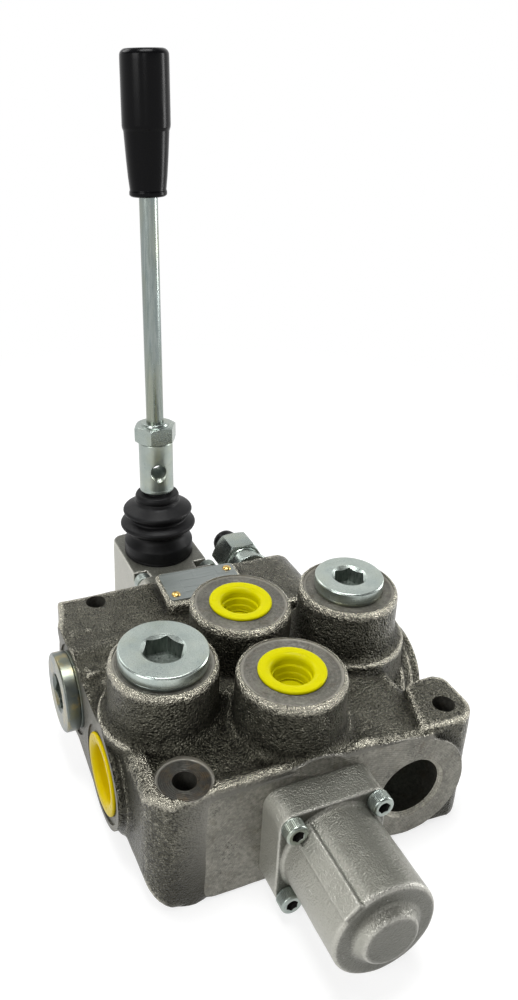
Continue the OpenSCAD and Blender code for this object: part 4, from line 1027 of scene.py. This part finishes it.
def seal_ring(node, matrix, outer, inner, material):
    """Bonded sealing washer: a plated ring with a rubber bead inside."""
    outline = [(inner, 0.1), (inner + 0.5, 0), (outer - 0.2, 0), (outer, 0.2),
               (outer, WASHER - 0.2), (outer - 0.2, WASHER), (inner + 0.5, WASHER),
               (inner, WASHER - 0.1), (inner - 0.15, 0.7)]
    obj = turned(node + "_ring", outline, matrix, 0.08)
    finish_piece(obj, "body", material, node, extra=(RING_PLATE,))
    centre = matrix.translation * MM
    axis = matrix.to_3x3().col[2]
    for face in obj.data.polygons:
        out = face.center - centre
        out -= axis * out.dot(axis)
        face.material_index = 1 if out.length > (inner + 1.2) * MM else 0


def plugs():
    top = PLUG_SEAT_Z + WASHER
    rubber_lip = rubber("seal_ring_rubber", 0.5)
    plug("inlet_plug", place(INLET_X, 0, top), 20.5, G1_SHANK, 17, 17, 9,
         zinc("zinc_inlet_plug", (INLET_X, 0, 0), "z", tint=0.15, tone=1.3))
    seal_ring("inlet_plug_seal", place(INLET_X, 0, PLUG_SEAT_Z), 20.0, 15.3, rubber_lip)
    plug("outlet_plug", place(OUTLET_X, OUTLET_Y, top), 17, G34_SHANK, 15, 14, 8,
         zinc("zinc_outlet_plug", (OUTLET_X, OUTLET_Y, 0), "z", tint=0.15, tone=1.3))
    seal_ring("outlet_plug_seal", place(OUTLET_X, OUTLET_Y, PLUG_SEAT_Z), 16.5, 12.2, rubber_lip)
    # The check plug's zinc is toned far down: partly its duller, tarnished plating, partly painted
    # shade against the key lamp's strong light on that side
    plug("check_plug", place(LEFT_X + 1 - WASHER, CHECK_Y, CHECK_Z, "left"), 19.7, G1_SHANK, 18.4,
         17, 7.5, zinc("zinc_check_plug", (0, CHECK_Y, CHECK_Z), "x", tint=0.3, patina=0.35,
                       tone=0.42), guide=4.05, head_h=7.0)
    seal_ring("check_plug_seal", place(LEFT_X + 1, CHECK_Y, CHECK_Z, "left"), 19.2, 15.3,
              rubber_lip)
    gallery_plug()


def gallery_plug():
    """Headless plug deep in the open gallery, with a ringed face and a small socket."""
    matrix = place(GALLERY_X, FRONT_Y + GALLERY_DEPTH, GALLERY_Z, "front")
    outline = [(0, -10), (12.5, -10), (13.95, -8.5), (13.95, -1), (13, 0), (11.5, 0), (11.5, -1),
               (9, -1), (9, 0), (0, 0)]
    obj = turned("gallery_plug_turned", outline, matrix, 0.2)
    # Painted light: the plug's zinc is made far paler and not metallic, so that it shows deep in
    # the dark gallery
    made = zinc("zinc_gallery_plug_painted_light", (GALLERY_X, 0, GALLERY_Z), "y", tint=0.3, rough=0.4, pitch=0.9,
                tone=2.4, metal=0.0)
    socket = prism("socket", hexagon(8), -6, 1, matrix)
    paint(obj, (made, PLUG_SOCKET_SHADE), 0)
    paint(socket, (made, PLUG_SOCKET_SHADE), 1)
    boolean(obj, [socket], solver="EXACT")
    finish_piece(obj, "body", made, "gallery_plug")


def cup_plug(node, matrix, flange_r, shank_r, depth, mouth_r, material):
    """Moulded port cap: a dished flange and a stepped cup whose rings show inside."""
    inner = min(shank_r - 1.5, mouth_r)
    outline = [(0, -depth), (shank_r - 1.2, -depth), (shank_r - 0.5, -depth + 1.5),
               (shank_r, -3), (shank_r, -0.1), (flange_r - 0.2, 0.02), (flange_r, 0.5),
               (flange_r, 1.1, 0.5), (flange_r - 0.5, 1.6, 0.5), (mouth_r + 2.4, 1.6, 0.8),
               (mouth_r + 0.5, 0.7, 0.8), (mouth_r, -0.8), (mouth_r, -3.4),
               (mouth_r - 0.7, -4), (mouth_r - 0.75, -6.9), (inner - 1.3, -7.5),
               (inner - 1.5, -9.9, 0.15), (inner - 1.9, -10.2, 0.15),
               (inner - 1.6, -depth + 1.7, 0.5), (2.0, -depth + 1.6), (1.4, -depth + 1.2),
               (0, -depth + 1.2)]
    obj = turned(node + "_moulded", outline, matrix, 0.3, steps=128)
    finish_piece(obj, "body", material, node)


def port_caps():
    for node, y in (("port_cap_a", PORT_A_Y), ("port_cap_b", PORT_B_Y)):
        cup_plug(node, place(0, y, SEAT_Z), 15.3, G34_SHANK, 13, 9.2, YELLOW)
    # Painted light: the side caps take a paler, more orange copy of the yellow, standing in for
    # light on those sides
    painted_light_tint = yellow_plastic("yellow_plastic_painted_lit", (1.45, 1.18))
    for node, at in (("port_cap_p", place(LEFT_X + 1, 0, SIDE_Z, "left")),
                     ("port_cap_t", place(TANK_X - 1, OUTLET_Y, SIDE_Z, "right"))):
        cup_plug(node, at, 19, G1_SHANK, 14, 13, painted_light_tint)


def socket_screw(matrix, shank):
    """M6 cap screw: knurled head, rounded rim, hexagon socket and a rolled thread."""
    teeth = 44

    def knurl(r, z, a):
        if 0.8 < z < 4.9 and r > 4.5:
            return r - 0.11 * (0.5 + 0.5 * math.cos(teeth * a))
        return r

    outline = [(0, -shank), (2.3, -shank), (2.95, -shank + 0.8)]
    outline += thread(-shank + 1.3, -8, 2.95, 2.5, 1.0, 0.05)
    outline += [(2.95, -7.4), (2.95, 0), (4.85, 0.02), (5.0, 0.3), (5.0, 0.9), (5.0, 2.2),
                (5.0, 3.6), (5.0, 4.8), (4.85, 5.45, 0.4), (4.2, 6.0, 0.4), (3.4, 6.0), (0, 6.0)]
    obj = turned("screw", outline, matrix, 0.12, steps=4 * teeth, shape=knurl)
    cutter = prism("socket", hexagon(5, 0.15), 2.5, 7, matrix)
    sink = cone("sink", 2.4, 3.2, 5.6, 6.05, matrix)
    # The hexagon socket takes the dark steel of painted shade
    for part, index in ((obj, 0), (cutter, 1), (sink, 0)):
        paint(part, (ZINC, SCREW_SOCKET_SHADE), index)
    return boolean(obj, [cutter, sink], solver="EXACT")


def flange_screws():
    for node, y, facing, shank in (("cap_screws", CAP_SEAT_Y, "front", 30.5),
                                   ("box_screws", BOX_SEAT_Y, "back", 29)):
        made = []
        for (x, z), turn in zip(SCREW_SPOTS, SCREW_TURNS):
            twist = Matrix.Rotation(math.radians(turn), 4, "Z")
            made.append(socket_screw(place(x, y, z, facing) @ twist, shank))
        finish_piece(join(node + "_knurled", made), "body", ZINC, node)


def nut_solid(name, af, z0, z1, matrix, bore, collar=None):
    """Chamfered hexagon with turned faces, bored for its rod."""
    corner = af / 2 / math.cos(math.pi / 6)
    drop = corner - af / 2 + 0.3
    obj = prism(name, polygon(6, corner), z0, z1, matrix)
    outline = [(0, z0), (corner - drop, z0), (corner + 0.1, z0 + 0.6 * drop),
               (corner + 0.1, z1 - 0.6 * drop), (corner - drop, z1), (0, z1)]
    boolean(obj, [turned("bulge", outline, matrix, 0.3)], "INTERSECT", "EXACT")
    if collar:
        low_r, high_r = collar
        outline = [(0, z1 - 1), (low_r, z1 - 1), (low_r, z1 + 0.1), (high_r, z1 + 1.45),
                   (0, z1 + 1.45)]
        boolean(obj, [turned("collar", outline, matrix, 0.3)], "UNION", "EXACT")
    if bore:
        boolean(obj, [rod("bore", bore, z0 - 2, z1 + 4, matrix)], solver="EXACT")
    return bevelled(obj, 0.22, 25)


def lever():
    hub = on_lever(HUB_S)
    outline = [(0, 0), (8.8, 0), (10, 1.2, 0.4), (10, 2.8), (9.9, 3.0, 0.1), (10, 3.2),
               (10, HUB_LEN - 0.9, 0.4), (9.1, HUB_LEN, 0.3), (0, HUB_LEN)]
    obj = turned("lever_hub_turned", outline, hub, 0.15, steps=128)
    # Threaded cross hole, sunk at both ends, and a bore at each end of the hub
    cross = hub @ Matrix.Translation((0, 0, HUB_LEN * 0.46)) @ Matrix.Rotation(
        math.radians(-10), 4, "Z") @ Matrix.Rotation(math.pi / 2, 4, "X")
    tap = [(0, -11), *thread(-11.0, 10.9, 4.3, 4.85, 1.4, 0.05), (4.3, 11), (0, 11)]
    tools = [turned("thread", tap, cross, 0.02, steps=64),
             cone("sink_a", 4.25, 6.1, 8.3, 10.2, cross),
             cone("sink_b", 6.1, 4.25, -10.2, -8.3, cross),
             rod("low_bore", ROD_BORE, -1, 10.05, hub),
             rod("high_bore", ROD_BORE, HUB_LEN - 10, HUB_LEN + 1, hub)]
    boolean(obj, tools, solver="EXACT")
    finish_piece(obj, "lever", zinc("zinc_hub", tint=0.3, rough=0.28), "lever_hub")

    nut = nut_solid("hub_lock_nut_milled", 22, 0, 10, on_lever(HUB_S + HUB_LEN), ROD_BORE,
                    collar=(8.2, 7.6))
    finish_piece(nut, "lever", zinc("zinc_lock_nut", tint=0.2, rough=0.22),
                 "hub_lock_nut")

    low, high = HUB_S + HUB_LEN - 9, KNOB_S + 41
    outline = [(0, low), (4.4, low), (5, low + 0.6), (5, high - 1), (4, high), (0, high)]
    obj = turned("lever_rod_drawn", outline, on_lever(), 0.2)
    finish_piece(obj, "lever", drawn_zinc(), "lever_rod")


def knob():
    """Polished handle: flared foot, a waist line and a round end with a small centre hole."""
    r, length = 12.7, 72.4
    waist = length * 0.47
    foot = r * 0.79
    outline = [(ROD_BORE, 0), (foot - 0.9, 0, 0.3), (foot, 0.8, 0.4), (foot, 2.5, 0.3),
               (foot - 0.35, 3.3, 0.3), (foot + 0.4, 10), (foot + 1.15, 20),
               (r - 0.75, waist - 1.1, 0.3), (r - 0.45, waist - 0.35, 0.2),
               (r - 0.15, waist + 0.4, 0.3), (r, waist + 1.6, 0.3), (r, waist + 14),
               (r - 0.05, length - 4.6, 1.0)]
    for k in range(1, 7):
        a = math.radians(13 * k)
        outline.append((r - 3.5 + 3.45 * math.cos(a), length - 3.5 + 3.45 * math.sin(a), 0.1))
    outline += [(5.5, length - 0.02, 1), (0.6, length), (0.6, length - 6), (0.6, 42),
                (ROD_BORE, 42)]
    obj = turned("knob_moulded", outline, on_lever(KNOB_S), 0.2, steps=128)
    finish_piece(obj, "lever", PHENOLIC, "knob")


def boot():
    """Rubber bellows: skirt clamped on the box, two folds and a ribbed collar on the arm."""
    base = BOX_TOP + 0.05 - PIVOT_Z
    # Outside from the skirt up to the collar, then the inside back down
    outline = [(18.6, base), (20.5, base, 0.3), (20.5, base + 1.2), (20.2, base + 1.6, 0.2),
               (20.5, base + 2.0), (20.5, base + 8.3, 0.5), (18.0, base + 11.4, 1.0),
               (17.2, 12.6, 0.8), (17.4, 13.8, 0.6), (22.0, 17.3, 0.8), (22.6, 18.6, 0.9),
               (22.0, 19.9, 0.8), (17.5, 22.4, 0.8), (17.4, 23.5, 0.6), (20.2, 26.1, 0.6),
               (20.7, 27.4, 0.8), (20.1, 28.7, 0.8), (14.4, 31.4, 1.0), (13.2, 32.3, 0.6),
               (13.0, 33.4, 0.3), (12.5, 33.9, 0.25), (12.5, 34.5, 0.25), (13.0, 35.0, 0.3),
               (13.0, 36.6, 0.3), (12.2, 38.4, 0.7), (6.35, 38.4, 0.3), (6.35, 33.0),
               (11.6, 30.4), (18.2, 27.8), (18.6, 27.2), (15.6, 23.8), (15.6, 22.4), (20.2, 19.2),
               (20.4, 18.6), (20.2, 18), (15.4, 14), (15.3, 12), (18.4, 8.2)]
    obj = turned("boot_bellows", outline, Matrix.Identity(4), 0.4, steps=112)
    co = coords(obj)
    # The lower end stands upright on the box and the upper end leans with the lever
    t = np.clip((co[:, 2] - 3.0) / 12.0, 0, 1)
    t = t * t * (3 - 2 * t)
    angle = -LEAN * t
    x, y, z = co.T
    leaned_y = y * np.cos(angle) - z * np.sin(angle)
    leaned_z = y * np.sin(angle) + z * np.cos(angle)
    set_coords(obj, np.stack([x, leaned_y + PIVOT_Y, leaned_z + PIVOT_Z], 1))
    obj.data.materials.append(RUBBER)
    smooth(obj, 40)
    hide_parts("boot")
    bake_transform(obj)


def relief_valve():
    """Screwed-in housing with a hexagon, its lock nut and the moulded cap behind them."""
    end = 28.0
    matrix = place(RELIEF_X, BACK_Y + 0.02, RELIEF_Z, "back")
    outline = [(0, -15.5), (8.2, -15.5), (9, -14.7), (9, -0.6), (8.4, -0.4), (8.4, 0), (12.2, 0),
               (12.6, 0.4), (12.6, 2.6), (12.2, 3), (10.6, 3.2), (10.3, 4), (10.3, 11.4),
               (10.7, 12.2), (10.7, 13), (0, 13)]
    obj = turned("relief_valve_body", outline, matrix, 0.2)
    boolean(obj, [nut_solid("relief_hexagon", 24, 12, end, matrix, 0)], "UNION", "EXACT")
    bores = [rod("spring_room", 5.6, -17, end - 7, matrix),
             rod("screw_bore", 5.05, -1, end + 2, matrix)]
    boolean(obj, bores, solver="EXACT")
    finish_piece(obj, "body", zinc("zinc_relief", tint=0.2, rough=0.2),
                 "relief_body")
    nut = nut_solid("relief_lock_nut_milled", 17, 0, 5,
                    place(RELIEF_X, BACK_Y + end + 0.05, RELIEF_Z, "back"), 5.05)
    finish_piece(nut, "body", ZINC, "relief_lock_nut")
    matrix = place(RELIEF_X, BACK_Y + end + 5.1, RELIEF_Z, "back")
    outline = [(5.2, 0), (7.6, 0), (7.8, 0.4), (7.8, 1.4), (7.5, 1.8, 0.2), (7.7, 4.6, 0.6),
               (7.0, 7.2, 1.2), (5.0, 8.1, 1.0), (0.5, 8.2), (0.5, 5.1), (5.2, 5.1)]
    obj = turned("relief_dust_cap_moulded", outline, matrix, 0.2)
    finish_piece(obj, "body", PHENOLIC, "relief_dust_cap")


def name_plate():
    """Bare plate: rounded sheet with a raised border, ruled fields and two rivet holes."""
    thick = 0.8

    def sheet(name, x0, x1, y0, y1, corner, steps, low, high):
        corners = [(x1, y1), (x0, y1), (x0, y0), (x1, y0)]
        return prism(name, rounded_polygon(corners, corner, steps), low, high, on_plate())

    obj = sheet("name_plate_sheet", -21.0, 21.0, -12.5, 12.5, 2.5, 8, 0, thick)
    # Sunk fields between the ruled lines
    fields = [(-20.0, -3.0, 5.2, 11.4), (-1.4, 10.6, 5.2, 11.4), (-11.5, 8.4, -1.4, 3.8),
              (9.8, 20.0, -1.4, 3.8), (-11.5, 20.0, -5.6, -2.8), (-11.5, 20.0, -11.4, -7.0)]
    tools = [sheet("field", *field, 0.5, 3, thick - 0.12, thick + 1) for field in fields]
    tools += [rod("hole", 1.55, -1, 2, spot, steps=32) for spot in rivet_places()]
    boolean(obj, tools, solver="EXACT")
    bevelled(obj, 0.06, 40, 1)
    finish_piece(obj, "body", PLATE_METAL, "name_plate")
    dome = [(0, -5.5), (1.3, -5.5), (1.5, -5.2), (1.5, 0.01), (2.3, 0.01), (2.4, 0.15)]
    for a in map(math.radians, range(15, 90, 12)):
        dome.append((2.4 * math.cos(a), 1.3 * math.sin(a), 0.05))
    dome.append((0, 1.3))
    rivets = [turned("rivet", dome, spot, 0.05, steps=48) for spot in rivet_places(thick)]
    finish_piece(join("plate_rivets_domed", rivets), "body", BRASS, "plate_rivets")


def springs():
    """Each coil is copied from its solid and given ground steel; the half length towards the piece
    that slides is worked out but not used, so the coil keeps its length.
    """
    for node, partner, body in (("centering_spring", "spring_cup_outer", "spool"),
                                ("check_spring", "check_poppet", "check_poppet"),
                                ("relief_spring", "relief_poppet", "relief_poppet")):
        obj = copy_of(node, node + "_coil")
        obj.data.materials.append(STEEL)
        smooth(obj)
        co = coords(obj)
        middle = (co.min(0) + co.max(0)) / 2
        towards = coords(nodes[partner]).mean(0) - middle
        axis = int(np.argmax(np.abs(towards)))
        half = np.zeros(3)
        half[axis] = np.ptp(co[:, axis]) / 2 * np.sign(towards[axis])
        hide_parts(node)
        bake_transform(obj)


def dress_inner_nodes():
    """Carried-over solids keep their shape and take a worked finish."""
    by_slot = {"zinc_steel": ZINC, "plain_steel": STEEL, "black_rubber": RUBBER,
               "black_plastic": PHENOLIC, "cast_aluminium": ALUMINIUM, "cast_iron": IRON,
               "yellow_plastic": YELLOW, "plate_aluminium": PLATE_METAL, "brass": BRASS}
    for part in frame["record"]["subparts"]:
        obj = nodes[part["node"]]
        if obj.hide_render:
            continue
        obj.data.materials.clear()
        obj.data.materials.append(by_slot[part["material_slot"]])


# Studio

def floor():
    size = 20.0
    corners = [(-size, -size, 0), (size, -size, 0), (size, size, 0), (-size, size, 0)]
    obj = new_object("studio_floor", corners, [(0, 1, 2, 3)])
    obj.location.z = -0.0002
    obj.data.materials.append(floor_material())


def lamp(name, position, target, size, watts):
    """White area light, in metres, turned towards its target."""
    data = bpy.data.lights.new(name, "AREA")
    data.shape = "RECTANGLE"
    data.size, data.size_y = size
    data.energy = watts
    obj = into_scene(name, data)
    obj.location = position
    obj.rotation_euler = (Vector(target) - Vector(position)).to_track_quat("-Z", "Y").to_euler()


def studio():
    """Five soft lights, a wide white backdrop behind, and a dim room."""
    lamp("top_soft", (0.0, 0.06, 0.95), (0, 0.03, 0.05), (0.42, 0.32), 6.5)
    lamp("key_left", (-0.90, -0.36, 0.62), (0, 0.03, 0.05), (0.5, 0.5), 5.0)
    lamp("front_fill", (-0.42, -1.05, 0.62), (0.02, 0, 0.04), (0.30, 0.30), 0.9)
    lamp("back_left", (-0.45, 0.78, 0.86), (0, 0.03, 0.05), (0.5, 0.4), 3.0)
    lamp("strip_right", (0.86, -0.03, 0.28), (0, 0.05, 0.20), (0.20, 0.50), 3.4)
    world = bpy.data.worlds.new("studio")
    bpy.context.scene.world = world
    world.use_nodes = True
    tree = world.node_tree
    tree.nodes.clear()

    def node(kind, *values, **settings):
        made = tree.nodes.new(kind)
        for key, value in settings.items():
            setattr(made, key, value)
        for socket, value in zip(made.inputs, values):
            if isinstance(value, bpy.types.NodeSocket):
                tree.links.new(value, socket)
            elif value is not None:
                socket.default_value = value
        return made.outputs

    def ramp(value, low, high, at_low, at_high, **settings):
        return node("ShaderNodeMapRange", value, low, high, at_low, at_high, **settings)[0]

    def maths(a, b, operation):
        return node("ShaderNodeMath", a, b, operation=operation)[0]

    towards = node("ShaderNodeTexCoord")["Generated"]
    height = node("ShaderNodeSeparateXYZ", towards)[2]
    # The backdrop stands where the photograph's camera looks, and ends above its picture
    ahead = node("ShaderNodeVectorMath", towards, (0.375, 0.927, 0.0),
                 operation="DOT_PRODUCT")["Value"]
    behind = ramp(ahead, 0.10, 0.70, 0.0, 1.0, interpolation_type="SMOOTHSTEP")
    low = ramp(height, 0.60, 0.92, 1.0, 0.0, interpolation_type="SMOOTHSTEP")
    level = ramp(maths(behind, low, "MULTIPLY"), 0.0, 1.0, 0.14, 1.0)
    # A white horizon for whatever sees it, so that every side view has a white background
    horizon = ramp(height, 0.15, 0.25, 1.0, 0.0)
    path = node("ShaderNodeLightPath")
    seen = maths(path["Is Camera Ray"], path["Is Glossy Ray"], "MAXIMUM")
    seen = maths(seen, path["Is Transmission Ray"], "MAXIMUM")
    level = maths(level, maths(horizon, seen, "MULTIPLY"), "MAXIMUM")
    room = node("ShaderNodeBackground", (1.0, 1.0, 1.0, 1.0), level)[0]
    node("ShaderNodeOutputWorld", room)


def camera():
    """Camera of the photograph: 22 degrees round to the left and 25 above, with a tall frame."""
    azimuth, elevation, roll = (math.radians(v) for v in (-22.05, 25.0, 0.82))
    back = Vector((math.sin(azimuth) * math.cos(elevation),
                   -math.cos(azimuth) * math.cos(elevation), math.sin(elevation)))
    right = (-back).cross(Vector((0, 0, 1))).normalized()
    up = right.cross(-back)
    right, up = (right * math.cos(roll) + up * math.sin(roll),
                 up * math.cos(roll) - right * math.sin(roll))
    data = bpy.data.cameras.new("photo_camera")
    data.sensor_width = 36
    data.lens = 32.72
    data.shift_x, data.shift_y = 0.069, -0.070
    data.clip_start = 0.02
    obj = into_scene("photo_camera", data)
    matrix = Matrix((right, up, back)).transposed().to_4x4()
    matrix.translation = Vector((-161.1, -302.0, 351.1)) * MM
    obj.matrix_world = matrix
    bpy.context.scene.camera = obj


bpy.context.scene.view_settings.view_transform = "Standard"
camera()
studio()
floor()
block()
spring_cap()
lever_box()
plugs()
port_caps()
flange_screws()
lever()
knob()
boot()
relief_valve()
name_plate()
springs()
dress_inner_nodes()
